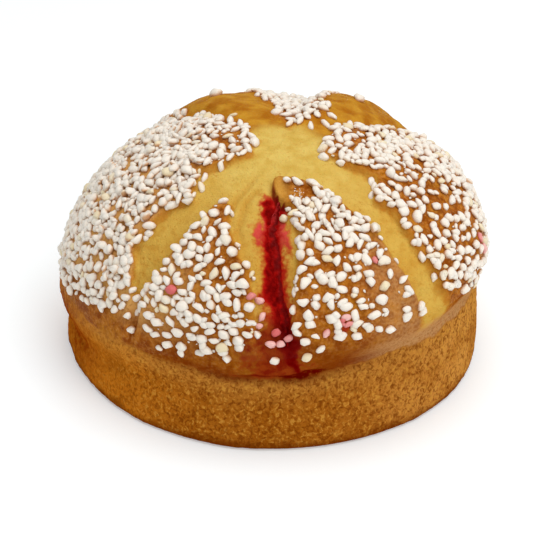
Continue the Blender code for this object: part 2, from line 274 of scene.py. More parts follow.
# Painted shade in the creases over the seam: (share, height above the seam, half its height, azimuth,
# reach).
SHADED_CREASES = (
    (1.0, 0.0, 0.0022, CREASE_AZIMUTH, CREASE_REACH + 8.0), (0.6, 0.003, 0.0045, -69.0, 18.0),
    (0.7, 0.002, 0.0030, -109.0, 20.0),
)
# Painted shade in the gap under the dome at the front: its height above the seam as a place and half a
# width, where it lies, where it is darkest, and how dark the rest of it is.
GAP_HEIGHTS = (0.0014, 0.0017)
GAP_LOBE = (-88.0, 19.0)
GAP_EDGE = (0.0, 0.5)
GAP_DARKEST = (-82.0, 9.0)
GAP_REST = 0.40
# Browned foot of the glaze: how high it goes, how brown it is, and where it is more or less so.
FOOT_TOP = (0.009, 0.020)
FOOT_BROWN = 0.5
FOOT_LOBES = ((0.5, -74.0, 30.0), (-0.35, -136.0, 26.0))
# Scorched patch of the side, its height as a place and half a width, and the browned base.
SCORCH_LOBE = (-163.0, 26.0)
SCORCH_HEIGHTS = (0.021, 0.016)
RIM_TOP = (0.0012, 0.0054)

# Height above the seam under which each opened score is glazed over: (azimuth, height).
BAND_FEET = ((-180.0, 0.007), (-146.0, 0.016), (-130.0, 0.020), (-112.0, 0.022), (-76.0, 0.022),
             (-62.0, 0.012), (-45.0, 0.009), (-20.0, 0.006), (180.0, 0.006))
BAND_FOOT_SLOPE = 0.6

# Pearl sugar. Passes of nibs, the largest first: (longest, shortest, seats tried).
NIB_PASSES = ((0.0058, 0.0047, 3600), (0.0050, 0.0041, 7000), (0.0043, 0.0034, 9000), (0.0035, 0.0026, 5000))
NIB_SEED = 7
NIB_SHAPES = 9
NIB_SINK = 0.33
NIB_MARGIN = 0.0002
STRAY_RIPPLES = ((0.0018, 0.0036, 61),)
BARE_RIPPLES = ((1.0, 0.0060, 62), (0.5, 0.0030, 63))
BARE_PATCHES = 0.62
BARE_LANE = 0.0018
BARE_LANE_REACH = (0.028, 0.072)
DENSE_CROWDING = 0.75
# Parts of the star, from azimuth 0: (azimuth where it ends, crowding near and far, distances
# from the score centre where the one goes over into the other).
CROWDING = (
    (12.0, 0.88, 0.76, 0.028, 0.038), (60.0, 0.94, 0.75, 0.026, 0.040), (112.0, 0.80, 0.84, 0.045, 0.056),
    (184.0, 0.88, 0.66, 0.022, 0.036), (210.0, 0.70, 0.72, 0.038, 0.050), (270.0, 0.79, 0.82, 0.040, 0.060),
    (320.0, 0.73, 1.14, 0.040, 0.068), (360.0, 0.78, 0.90, 0.052, 0.066),
)
CLUMPING = 0.34
CLUMP_RIPPLES = ((1.0, 0.0080, 64), (0.7, 0.0040, 65))
PAIR_SHARE = 0.38
PAIR_GAP = 0.60
PAIR_CROWDING = 0.8
PAIR_SIZES = (0.75, 0.95)
PAIR_TURNS = (0.6, 2.4)
SECOND_LAYER_RISE = 0.0008
SECOND_LAYER_SHARE = 0.35
SECOND_LAYER_END = 0.070
SECOND_LAYER_EDGE = 0.002
SECOND_LAYER_ROOM = 0.2
# Shapes of nibs: width as a share of the length, and thickness as a share of the width.
NIB_WIDTHS = (0.56, 0.84)
NIB_THICKNESSES = (0.68, 0.88)
NIB_TILT = 0.16
SECOND_LAYER_TILT = 0.3
SLENDER_REACH = 0.046
SLENDER_SHARE = 0.5
SLENDER_STRETCH = 1.15
SLENDER_WIDTHS = (0.48, 0.62)
SLENDER_TURN = 0.6
# Bare height above the seam: (azimuth, height).
NIB_FEET = ((-180.0, 0.004), (-160.0, 0.0035), (-150.0, 0.0065), (-143.0, 0.0085), (-128.0, 0.0120),
            (-124.0, 0.0110), (-119.0, 0.0050), (-108.0, 0.008), (-98.0, 0.016), (-90.0, 0.030),
            (-80.0, 0.018), (-58.0, 0.017), (-50.0, 0.018), (-45.0, 0.026), (-41.0, 0.020), (-38.0, 0.0165),
            (-30.0, 0.014), (-20.0, 0.012), (10.0, 0.008), (180.0, 0.005))
# Nibs that lie apart from the rest: (distance, azimuth, length, stained). Their width and
# thickness are shares of the length.
LONE_WIDTHS = (0.66, 0.84)
LONE_THICKNESSES = (0.60, 0.76)
LONE_NIBS = (
    (0.0646, -107.5, 0.0046, False), (0.0196, -84.6, 0.0034, False), (0.0470, -112.1, 0.0052, False),
    (0.0302, -85.7, 0.0036, False), (0.0334, -89.2, 0.0042, False), (0.0426, -79.2, 0.0040, False),
    (0.0567, -101.0, 0.0044, True), (0.0576, -98.3, 0.0040, True), (0.0589, -101.3, 0.0052, False),
    (0.0606, -97.0, 0.0042, True), (0.0619, -98.0, 0.0034, True), (0.0629, -98.4, 0.0046, False),
    (0.0631, -92.2, 0.0040, True), (0.0640, -93.7, 0.0044, True), (0.0642, -90.6, 0.0036, True),
    (0.0640, -88.0, 0.0040, True), (0.0647, -92.1, 0.0042, False), (0.0655, -82.3, 0.0044, False),
    (0.0658, -78.1, 0.0040, False), (0.0649, -76.1, 0.0042, True), (0.0647, -82.8, 0.0042, False),
    (0.0575, 116.0, 0.0060, False), (0.0600, 59.6, 0.0054, False), (0.0640, 62.4, 0.0038, False),
    (0.0711, -148.9, 0.0042, False), (0.0703, -142.1, 0.0044, False), (0.0695, -143.6, 0.0038, False),
    (0.0660, -139.0, 0.0040, False), (0.0680, -146.0, 0.0044, False),
)
# Long nibs that fan out at the tips of the petals: (distance, azimuth, length, direction).
FAN_NIBS = (
    (0.0304, 130.1, 0.0054, 90.0), (0.0246, 129.8, 0.0052, 105.0), (0.0224, 139.6, 0.0050, 20.0),
    (0.0168, 147.9, 0.0056, 49.0), (0.0133, 146.9, 0.0056, 129.0), (0.0128, 180.4, 0.0064, 113.0),
    (0.0222, 175.7, 0.0066, 103.0), (0.0223, 154.8, 0.0048, 10.0), (0.0307, 198.5, 0.0058, 60.0),
    (0.0334, 206.2, 0.0056, 95.0), (0.0370, 44.1, 0.0054, 90.0), (0.0294, 39.0, 0.0052, 75.0),
    (0.0296, 33.8, 0.0048, 160.0), (0.0236, 28.2, 0.0056, 131.0), (0.0189, 21.4, 0.0062, 15.0),
    (0.0186, -2.2, 0.0056, 55.0), (0.0281, 3.2, 0.0068, 77.0), (0.0294, 24.6, 0.0050, 170.0),
    (0.0376, -24.8, 0.0058, 105.0), (0.0385, -31.4, 0.0052, 90.0), (0.0420, -25.6, 0.0060, 150.0),
    (0.0355, -21.0, 0.0056, 110.0), (0.0267, 86.2, 0.0056, 10.0), (0.0191, 80.6, 0.0054, 50.0),
    (0.0343, 62.7, 0.0062, 160.0), (0.0333, 55.0, 0.0056, 150.0), (0.0261, 49.9, 0.0056, 130.0),
    (0.0211, 70.8, 0.0050, 60.0), (0.0204, 57.4, 0.0050, 100.0), (0.0205, -74.5, 0.0056, 145.0),
)
FAN_WIDTHS = (0.50, 0.44)
FAN_TILT = -0.35
STAINED_SPOTS = ((0.056, -53.1), (0.060, -130.4), (0.0655, -70.0), (0.075, -7.5))
STAINED_SPOT_REACH = 0.0016
STAIN_SIZE = 0.0018
STAIN_FLATNESS = 2.4
STAIN_FOOT = (0.010, 0.014)
# Bare tip of the flap: distance from the score centre, and the azimuths that it lies between.
FLAP_BARE = (0.0290, -120.0, -63.0)
# Face of the flap that the juice leaves clear: how far inside the edge it begins, and its end.
FLAP_FACE = (0.0006, 0.0011)
FLAP_END = (0.030, 0.034)
# Its golden tip and its maroon edge, a painted shadow, as (distance, azimuth) of their places and half
# widths, how far inside the edge of the petal the painted shadow lies, as a place and half a width, and its
# dark spots.
FLAP_GOLD_PLACE = (0.0225, -94.0)
FLAP_GOLD_SPREAD = (0.006, 9.0)
FLAP_SHADOW_PLACE = (0.0255, -93.5)
FLAP_SHADOW_SPREAD = (0.0062, 12.0)
FLAP_SHADOW_INTO = (0.0005, 0.0008)
FLAP_SPOTS = ((0.0172, -90.0), (0.0168, -75.7))
FLAP_SPOT_SIZE = 0.0014
FLAP_SPOT_FLATNESS = 1.6
FLAP_SPOT_SHARE = 0.8
# How deep the filling is tucked in under it.
FLAP_TUCK = 0.0022
FLAP_TUCK_EDGE = 0.0004
# Chips of sugar, and the fine crystals on the flap.
FLAP_SUGAR = np.array((0.0258, math.radians(-78.0)))
FLAP_SUGAR_SPREAD = np.array((0.0013, 0.055))
FLAP_CRYSTALS = 26
CRYSTAL_LENGTHS = (0.0005, 0.0009)
CRYSTAL_SHAPE = (1.0, 0.8, 0.7)
CRUMB_COUNT = 420
CRUMB_LENGTHS = (0.0009, 0.0018)
CRUMB_WIDTHS = (0.5, 0.9)
CRUMB_THICKNESSES = (0.4, 0.7)
CRUMB_SEAT = 0.3
# A nib's lump of sugar: a ball of one unit pared by flats at these distances from its middle.
LUMP_FLATS = 9
LUMP_REACH = (0.31, 0.43)
NIB_FINENESS = 2
CHIP_FINENESS = 1
NIB_ROUGHENING = 0.0007
CHIP_ROUGHENING = 0.0004
ROUGHENING_SIZE = 0.0022
# Shares of the sugar that are left untinted.
WHITE_UNTINTED = 0.86
PINK_UNTINTED = 0.30

# The photo's viewpoint.
CAMERA_ELEVATION = 30.46
CAMERA_DISTANCE = 0.6806
CAMERA_LENS = 114.8
AIM_HEIGHT = 0.0415
AIM_RIGHT = -0.0009
AIM_UP = -0.0110

# Studio: a pale floor, even light all round, and lamps as (name, place, width, power).
FLOOR_WIDTH = 6.0
FLOOR_WHITE = (0.78, 0.82, 0.83)
FLOOR_GLOW = 0.30
WORLD_STRENGTH = 0.43
LAMPS = (
    ("overhead", (0.15, -0.10, 1.10), 1.1, 8.6),
    ("front_right", (0.80, -1.10, 0.75), 0.9, 4.6),
)
LAMP_AIM = (0.0, 0.0, 0.04)
WHITE = (1.0, 1.0, 1.0, 1.0)


def smooth_step(low, high, value):
    """Rise from 0 at low to 1 at high, level at both ends."""
    share = np.clip((value - low) / (high - low), 0.0, 1.0)
    return share * share * (3.0 - 2.0 * share)


def mix(start, end, share):
    return start + (end - start) * share


def hump(offset, half_width):
    """Bell curve: 1 where the offset is 0, dying away over the half width."""
    return np.exp(-((offset / half_width) ** 2))


def along(table, place):
    """Value at a place along a table of (place, value), eased between its entries."""
    places, values = (np.array(column, dtype=float) for column in zip(*table))
    last = np.clip(np.searchsorted(places, place), 1, len(places) - 1)
    return mix(values[last - 1], values[last], smooth_step(places[last - 1], places[last], place))


def waves(azimuth, table):
    return sum(amount * np.cos(lobes * (azimuth - math.radians(crest))) for lobes, amount, crest in table)


def turn_from(azimuth, place):
    """Signed angle in degrees from a place round the loaf to an azimuth in radians."""
    return (np.degrees(azimuth) - place + 180.0) % 360.0 - 180.0


def lobe(azimuth, place, reach):
    """Smooth swelling round the loaf: 1 at its place and 0 beyond its reach, both in degrees."""
    return 1.0 - smooth_step(0.0, reach, np.abs(turn_from(azimuth, place)))


def off_centre(offset, centre, half_width):
    """Bell curve round a centre."""
    return hump(offset - centre, half_width)


def lattice(cell, seed):
    """Random number between -1 and 1 for each whole-numbered cell of space."""
    key = cell[..., 0] * 73856093 + cell[..., 1] * 19349663 + cell[..., 2] * 83492791 + seed * 2654435
    key = ((key ^ (key >> 15)) & 0xFFFFFFFF) * 1274126177
    key = ((key ^ (key >> 13)) & 0xFFFFFFFF) * 1103515245
    return ((key >> 8) & 0xFFFFFF) / 0x7FFFFF - 1.0


def ripple(points, size, seed):
    """Smooth random height between -1 and 1 over points, with swells about size across."""
    place = points / size
    cell = np.floor(place).astype(np.int64)
    part = place - cell
    part = part * part * (3.0 - 2.0 * part)
    height = np.zeros(points.shape[:-1])
    for corner in itertools.product((0, 1), repeat=3):
        weight = np.prod(np.where(corner, part, 1.0 - part), axis=-1)
        height += weight * lattice(cell + corner, seed)
    return height


def ripples(points, swells, start=0.0):
    """Ripples over points, each as (height, size, seed), added in turn to a start."""
    return sum((height * ripple(points, size, seed) for height, size, seed in swells), start)


def nearest_seed(points, size, seed):
    """Distance to the nearest of many scattered seeds, in cells of a size."""
    place = points / size
    cell = np.floor(place).astype(np.int64)
    nearest = np.full(points.shape[:-1], 9.0)
    for corner in itertools.product((-1, 0, 1), repeat=3):
        near = cell + corner
        offset = [0.5 + 0.5 * lattice(near, seed + axis) for axis in range(3)]
        gap = near + np.stack(offset, axis=-1) - place
        nearest = np.minimum(nearest, np.sqrt((gap * gap).sum(axis=-1)))
    return nearest


def dome_radius(azimuth):
    return DOME_RADIUS * (1.0 + waves(azimuth, DOME_WAVES))


def waist_height(azimuth):
    return WAIST_HEIGHT + waves(azimuth, WAIST_WAVES)


def seam_height(azimuth):
    """Height of the border between the glazed dome and the bare side."""
    return SEAM_HEIGHT - SEAM_DIP * lobe(azimuth, CREASE_AZIMUTH, CREASE_REACH)


def side_radius(azimuth, height):
    """Radius of the side below the waist: a rounded foot, a wall, and a flare into the dome."""
    wall_top = waist_height(azimuth) - FLARE_LENGTH
    uneven = 1.0 + waves(azimuth, BASE_WAVES)
    share = np.minimum(1.0, height / wall_top)
    wall = mix(BASE_RADIUS, WALL_RADIUS, share) * uneven + WALL_BULGE * np.sin(math.pi * share)
    foot = np.maximum(0.0, 1.0 - height / BASE_ROUNDING)
    wall = wall - BASE_ROUNDING * (1.0 - np.sqrt(1.0 - foot * foot))
    flare = smooth_step(wall_top, waist_height(azimuth), height)
    crease = CREASE_DEPTH * hump(height - seam_height(azimuth), CREASE_HALF_HEIGHT)
    crease = crease * lobe(azimuth, CREASE_AZIMUTH, CREASE_REACH)
    return wall + (dome_radius(azimuth) - WALL_RADIUS * uneven) * flare - crease


def plan_azimuth(plan):
    return np.arctan2(plan[..., 1], plan[..., 0])


def dome_height(plan):
    """Height of the unscored dome over points of the plan inside its rim."""
    azimuth = plan_azimuth(plan)
    share = np.minimum(1.0, np.hypot(plan[..., 0], plan[..., 1]) / dome_radius(azimuth))
    rise = np.sqrt(1.0 - share ** (2.0 / DOME_FULLNESS)) ** DOME_RISE
    waist = waist_height(azimuth)
    return waist + (LOAF_HEIGHT - waist) * rise


def star_place(plan):
    """Distance and azimuth in radians from the score centre."""
    offset = plan - SCORE_CENTRE
    return np.hypot(offset[..., 0], offset[..., 1]), plan_azimuth(offset)


def star_point(distance, azimuth):
    """Point of the plan at a distance and an azimuth in radians from the score centre."""
    return SCORE_CENTRE + distance * np.array((math.cos(azimuth), math.sin(azimuth)))


def star_hump(distance, azimuth, place, spread):
    """Bell curve round a star place, with half widths as (distance, azimuth)."""
    return hump(distance - place[0], spread[0]) * hump(turn_from(azimuth, place[1]), spread[1])


def front_share(azimuth):
    """1 in front of the score centre and 0 behind it, at an azimuth from it in radians."""
    return 1.0 - smooth_step(*FRONT_REACH, np.abs(turn_from(azimuth, FRONT_AZIMUTH)))


def side_from(line, distance, azimuth):
    """Distance to the side of a line from the score centre, positive anticlockwise."""
    turn = turn_from(azimuth, line)
    return distance * np.sin(np.radians(np.clip(turn, -90.0, 90.0)))


def into_petal(plan):
    """How far a point lies inside the nearest petal's edge, negative in the opened dough."""
    distance, azimuth = star_place(plan)
    deepest = np.full(distance.shape, -FAR_OFF)
    for petal in PETALS:
        clockwise = along(petal.clockwise, distance)
        anticlockwise = along(petal.anticlockwise, distance)
        half = (anticlockwise - clockwise) / 2
        turn = np.abs(turn_from(azimuth, (clockwise + anticlockwise) / 2))
        within = distance * np.sin(np.radians(np.clip(half - turn, -90.0, 90.0)))
        deepest = np.maximum(deepest, np.minimum(within, distance - petal.tip))
    flat = np.concatenate([plan, np.zeros_like(plan[..., :1])], axis=-1)
    return deepest + EDGE_WOBBLE * ripples(flat, EDGE_RIPPLES)


def furrow_side(distance, azimuth):
    """Distance to the side of the filling's line, large behind the score centre."""
    side = side_from(FRONT_AZIMUTH, distance, azimuth) - along(FURROW_BENDS, distance)
    return np.where(np.abs(turn_from(azimuth, FRONT_AZIMUTH)) < 90.0, side, FAR_OFF)


def fold_share(distance, azimuth):
    """How much a point lies in one of the folds."""
    share = np.zeros(distance.shape)
    for fold in FOLDS:
        side = side_from(along(fold, distance), distance, azimuth)
        run_in = smooth_step(*(fold[0][0] + step for step in FOLD_RUN_IN), distance)
        run_out = 1.0 - smooth_step(*(fold[-1][0] + step for step in FOLD_RUN_OUT), distance)
        share = np.maximum(share, hump(side, FOLD_HALF_WIDTH) * run_in * run_out)
    return share


def relief(plan):
    """Rise of the skin over the plain dome: opened scores, swellings, folds and the furrow."""
    distance, azimuth = star_place(plan)
    into = into_petal(plan)
    opened = 1.0 - smooth_step(-EDGE_SLOPE / 2, EDGE_SLOPE / 2, into)
    front = front_share(azimuth)
    depth = mix(HEART_DEPTH, mix(BACK_DEPTH, FRONT_DEPTH, front), smooth_step(*HEART_REACH, distance))
    rise = -depth * opened
    rise += LIP_HEIGHT * mix(LIP_BEHIND, 1.0, front) * hump(into - LIP_HALF_WIDTH, LIP_HALF_WIDTH)
    rise += along(SWELLS, np.degrees(azimuth) % 360.0) * smooth_step(SWELL_START, SWELL_FULL, distance)
    run_in = smooth_step(FURROW_START, FURROW_START + FURROW_RUN_IN, distance)
    rise -= FURROW_DEPTH * run_in * hump(furrow_side(distance, azimuth), FURROW_HALF_WIDTH)
    for score in SHUT_SCORES:
        side = side_from(along(score, distance), distance, azimuth)
        rise -= SHUT_DEPTH * hump(side, SHUT_HALF_WIDTH) * smooth_step(*SHUT_RUN_IN, distance)
    rise -= FOLD_DEPTH * fold_share(distance, azimuth) * opened
    flap = star_hump(distance, azimuth, FLAP_PLACE, FLAP_SPREAD)
    rise += FLAP_RISE * flap * smooth_step(0.0, FLAP_ROOT, into)
    waist = waist_height(plan_azimuth(plan))
    return rise * smooth_step(0.0, RELIEF_FADE, (dome_height(plan) - waist) / (LOAF_HEIGHT - waist))


def dome_normal(plan):
    """Outward normal of the unscored dome."""
    slopes = [dome_height(plan + np.array(way)) - dome_height(plan - np.array(way))
              for way in ((NORMAL_STEP, 0.0), (0.0, NORMAL_STEP))]
    normal = np.stack([-slopes[0], -slopes[1], np.full_like(slopes[0], 2.0 * NORMAL_STEP)], axis=-1)
    return normal / np.linalg.norm(normal, axis=-1, keepdims=True)


def dome_point(plan):
    """Point of the scored skin over a point of the plan."""
    base = np.concatenate([plan, dome_height(plan)[..., None]], axis=-1)
    return base + dome_normal(plan) * relief(plan)[..., None]


def rim_share(angle):
    """Share of the way out to the rim at an angle up the dome, in degrees."""
    return np.cos(np.radians(angle)) ** DOME_FULLNESS


def rim_points(directions):
    """Plan points where lines from the score centre, at directions in radians, meet the rim."""
    lines = np.stack([np.cos(directions), np.sin(directions)], axis=-1)
    inside, outside = np.zeros(len(directions)), np.full(len(directions), 2.0 * DOME_RADIUS)
    for _ in range(RIM_HALVINGS):
        middle = (inside + outside) / 2
        points = SCORE_CENTRE + lines * middle[:, None]
        within = np.hypot(points[:, 0], points[:, 1]) < dome_radius(plan_azimuth(points))
        inside, outside = np.where(within, middle, inside), np.where(within, outside, middle)
    return SCORE_CENTRE + lines * inside[:, None]


def dome_grid():
    """Rings of skin points from the waist up to just short of the score centre."""
    rims = rim_points(np.linspace(0.0, TURN, DOME_COLUMNS, endpoint=False))
    shares = rim_share(np.linspace(0.0, DOME_TOP_ANGLE, DOME_RINGS))
    plan = SCORE_CENTRE + (rims - SCORE_CENTRE)[None, :, :] * shares[:, None, None]
    return dome_point(plan)


def wall_grid():
    """Rings of skin points from the foot up to the waist."""
    azimuth = np.linspace(0.0, TURN, WALL_COLUMNS, endpoint=False)[None, :]
    share = np.linspace(0.0, 1.0, WALL_RINGS)[:, None] ** WALL_RING_BIAS
    height = share * waist_height(azimuth)
    radius = side_radius(azimuth, height)
    return np.stack([radius * np.cos(azimuth), radius * np.sin(azimuth), height], axis=-1)


def grid_normals(grid):
    """Outward normals of a grid of rings round the loaf."""
    around = np.roll(grid, -1, axis=1) - np.roll(grid, 1, axis=1)
    up = np.gradient(grid, axis=0)
    normal = np.cross(around, up)
    return normal / np.maximum(np.linalg.norm(normal, axis=-1, keepdims=True), 1e-12)


def band_share(grid, left, right):
    """Soft mottled share of a band between two values of x, 1 in its middle and 0 outside."""
    off = (grid[..., 0] - (left + right) / 2) / ((right - left) / 2)
    return 1.0 - smooth_step(*BAND_FADE, np.abs(off) + ripples(grid, BAND_RIPPLES))


def spot_share(distance, azimuth, spots, size, flatness):
    """Soft spots at star places, each narrower along the radius by its flatness."""
    share = np.zeros(distance.shape)
    for reach, place in spots:
        aside = distance * np.radians(turn_from(azimuth, place))
        share = np.maximum(share, hump(np.hypot(flatness * (distance - reach), aside), size))
    return share


def juice_and_fruit(grid, into):
    """How much juice and dark fruit cover the crust of the front, apart from the flap's face."""
    across, height = grid[..., 0], grid[..., 2]
    distance, star_azimuth = star_place(grid[..., :2])
    left, right = (along([(row[0], row[side]) for row in JUICE_EDGES], height) for side in (1, 2))
    juice = band_share(grid, left, right)
    for place, level, half, tall in JUICE_LOBES:
        off = np.hypot((across - place) / half, (height - level) / tall)
        juice = np.maximum(juice, hump(ripples(grid, JUICE_LOBE_RIPPLES, off), 1.0))
    middle, half = (along([(row[0], row[side]) for row in FRUIT_PATH], height) for side in (1, 2))
    fruit = band_share(grid, middle - half, middle + half)

    beside = hump(furrow_side(distance, star_azimuth), BESIDE_WIDTH)
    beside = beside * smooth_step(*LOBE_EDGE, lobe(plan_azimuth(grid), *BESIDE_LOBE))
    beside = beside * smooth_step(*BESIDE_HEIGHTS, height)
    on_flap = smooth_step(*FLAP_FACE, into) * (1.0 - smooth_step(*FLAP_END, distance))
    facing = smooth_step(*JUICE_FRONT, -grid[..., 1]) * smooth_step(*JUICE_START, distance)
    facing = facing * (1.0 - on_flap) * smooth_step(*JUICE_FOOT, height)
    juice, fruit = np.maximum(juice, BESIDE_JUICE * beside), np.maximum(fruit, BESIDE_FRUIT * beside)
    return juice * facing, fruit * facing


def skin_fields(grid):
    """What the skin is made of at each point, as named numbers for relief and colour."""
    plan, height = grid[..., :2], grid[..., 2]
    azimuth = plan_azimuth(plan)
    distance, star_azimuth = star_place(plan)
    above = ripples(grid, SEAM_RIPPLES, height - seam_height(azimuth))
    band_foot = ripples(grid, BAND_FOOT_RIPPLES, along(BAND_FEET, np.degrees(azimuth)))
    into = np.maximum(into_petal(plan), BAND_FOOT_SLOPE * (band_foot - above))
    front = front_share(star_azimuth)
    juice, fruit = juice_and_fruit(grid, into)
    stains = spot_share(distance, star_azimuth, STAINED_SPOTS, STAIN_SIZE, STAIN_FLATNESS)

    # Painted shadow along the edge of the flap, with its dark spots.
    flap_shadow_and_spots = star_hump(distance, star_azimuth, FLAP_SHADOW_PLACE, FLAP_SHADOW_SPREAD)
    flap_shadow_and_spots = flap_shadow_and_spots * off_centre(into, *FLAP_SHADOW_INTO)
    flap_spots = spot_share(distance, star_azimuth, FLAP_SPOTS, FLAP_SPOT_SIZE, FLAP_SPOT_FLATNESS)

    glazed = smooth_step(*SEAM_EDGE, above)
    # Painted sheen at the foot of the glaze and on the front right petal.
    lobes = np.max([share * lobe(azimuth, place, reach) for share, place, reach in SHEEN_LOBES], axis=0)
    painted_sheen = glazed * (1.0 - smooth_step(*SHEEN_TOP, above)) * smooth_step(*LOBE_EDGE, lobes)
    sheen_patch = lobe(star_azimuth, *SHEEN_PATCH_LOBE) * smooth_step(*SHEEN_PATCH_START, distance)
    sheen_patch = sheen_patch * smooth_step(*SHEEN_PATCH_EDGE, into) * glazed
    # Painted shade in the creases over the seam.
    crease = np.max([share * hump(above - level, half) * lobe(azimuth, place, reach)
                     for share, level, half, place, reach in SHADED_CREASES], axis=0)
    # Painted shade in the gap under the dome at the front.
    gap = off_centre(above, *GAP_HEIGHTS) * smooth_step(*GAP_EDGE, lobe(azimuth, *GAP_LOBE))
    browned = sum((share * lobe(azimuth, place, reach) for share, place, reach in FOOT_LOBES), FOOT_BROWN)
    return {
        "petal": np.clip(into / MM, -INTO_LIMIT, INTO_LIMIT),
        "above_seam": above / MM,
        "heart": 1.0 - smooth_step(HEART_REACH[0], mix(HEART_REACH[1], HEART_FRONT_REACH, front), distance),
        # Where the folds lie, for their painted shade.
        "fold": fold_share(distance, star_azimuth),
        "flap": star_hump(distance, star_azimuth, FLAP_GOLD_PLACE, FLAP_GOLD_SPREAD),
        "flap_shadow_and_spots": np.maximum(flap_shadow_and_spots, FLAP_SPOT_SHARE * flap_spots),
        "gap_shade": gap * mix(GAP_REST, 1.0, lobe(azimuth, *GAP_DARKEST)),
        "foot": (1.0 - smooth_step(*FOOT_TOP, above)) * browned,
        "stains": stains * smooth_step(*STAIN_FOOT, above),
        "back": 1.0 - front,
        "juice": juice,
        "fruit": fruit,
        "painted_sheen": np.maximum(painted_sheen, SHEEN_PATCH_SHARE * sheen_patch),
        "crease": crease,
        "scorch": lobe(azimuth, *SCORCH_LOBE) * off_centre(height, *SCORCH_HEIGHTS),
        "rim": 1.0 - smooth_step(*RIM_TOP, ripples(grid, RIM_RIPPLES, height)),
    }


def bake_relief(grid, fields):
    """The grid with its fine relief: puffed petals, soft dough, pores and strands of the side."""
    normals, height = grid_normals(grid), grid[..., 2]
    glazed = smooth_step(-1.0, 1.0, fields["above_seam"])
    petal = smooth_step(-0.5, 1.0, fields["petal"])
    rise = glazed * petal * ripples(grid, PETAL_RIPPLES)
    rise += glazed * (1.0 - petal) * ripples(grid, DOUGH_RIPPLES)
    bare = 1.0 - glazed
    around = plan_azimuth(grid) * WALL_RADIUS
    strand_place = np.stack([around / STRAND_WIDTH, height / STRAND_LENGTH, height * 0.0], axis=-1)
    strands = ripple(strand_place, 1.0, STRAND_SEED) * smooth_step(*STRAND_RUN_IN, height)
    pores = 1.0 - smooth_step(0.0, PORE_REACH, nearest_seed(grid, PORE_SIZE, PORE_SEED))
    side = STRAND_DEPTH * strands - PORE_DEPTH * pores + ripples(grid, SIDE_RIPPLES)
    rise += bare * smooth_step(0.0, STANDING_EDGE, height) * side
    fields["pore"] = bare * pores
    return grid + normals * rise[..., None], normals


def mesh_from_rings(name, rings, fields, first_cap, last_cap):
    """Closed mesh over rings of points, each end fanned to a cap point, with its fields."""
    count_up, count_round = rings.shape[:2]
    points = np.concatenate([rings.reshape(-1, 3), [first_cap, last_cap]])
    index = np.arange(count_up * count_round).reshape(count_up, count_round)
    lower, upper = index[:-1], index[1:]
    quads = np.stack([lower, np.roll(lower, -1, 1), np.roll(upper, -1, 1), upper], axis=-1).reshape(-1, 4)
    first, last = len(points) - 2, len(points) - 1
    fans = [(first, b, a) for a, b in zip(index[0], np.roll(index[0], -1))]
    fans += [(last, a, b) for a, b in zip(index[-1], np.roll(index[-1], -1))]
    mesh = bpy.data.meshes.new(name)
    mesh.from_pydata(points.tolist(), [], quads.tolist() + [list(map(int, fan)) for fan in fans])
    for field, values in fields.items():
        attribute = mesh.attributes.new(field, "FLOAT", "POINT")
        ends = [values[0].mean(), values[-1].mean()]
        attribute.data.foreach_set("value", np.concatenate([values.ravel(), ends]).astype(np.float32))
    mesh.shade_smooth()
    mesh.set_sharp_from_angle(angle=math.radians(SHELL_EDGE_ANGLE))
    mesh.validate()
    return mesh


def place_piece(name, mesh, finish):
    """A piece of the loaf, at the origin, on the loaf's one body."""
    piece = bpy.data.objects.new(name, mesh)
    bpy.context.scene.collection.objects.link(piece)
    mesh.materials.clear()
    mesh.materials.append(finish)
    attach(piece, "root")
    return piece


def feed(tree, socket, value):
    """Set a socket to a number or colour, or link it to a node's output."""
    if isinstance(value, bpy.types.NodeSocket):
        tree.links.new(value, socket)
    elif isinstance(value, tuple) and len(value) == 3 and socket.type == "RGBA":
        socket.default_value = (*value, 1.0)
    else:
        socket.default_value = value


def add_node(tree, kind, inputs, **settings):
    """A new node of a tree with its settings, and what goes into its inputs."""
    node = tree.nodes.new(kind)
    for name, value in settings.items():
        setattr(node, name, value)
    for name, value in inputs.items():
        feed(tree, node.inputs[name], value)
    return node


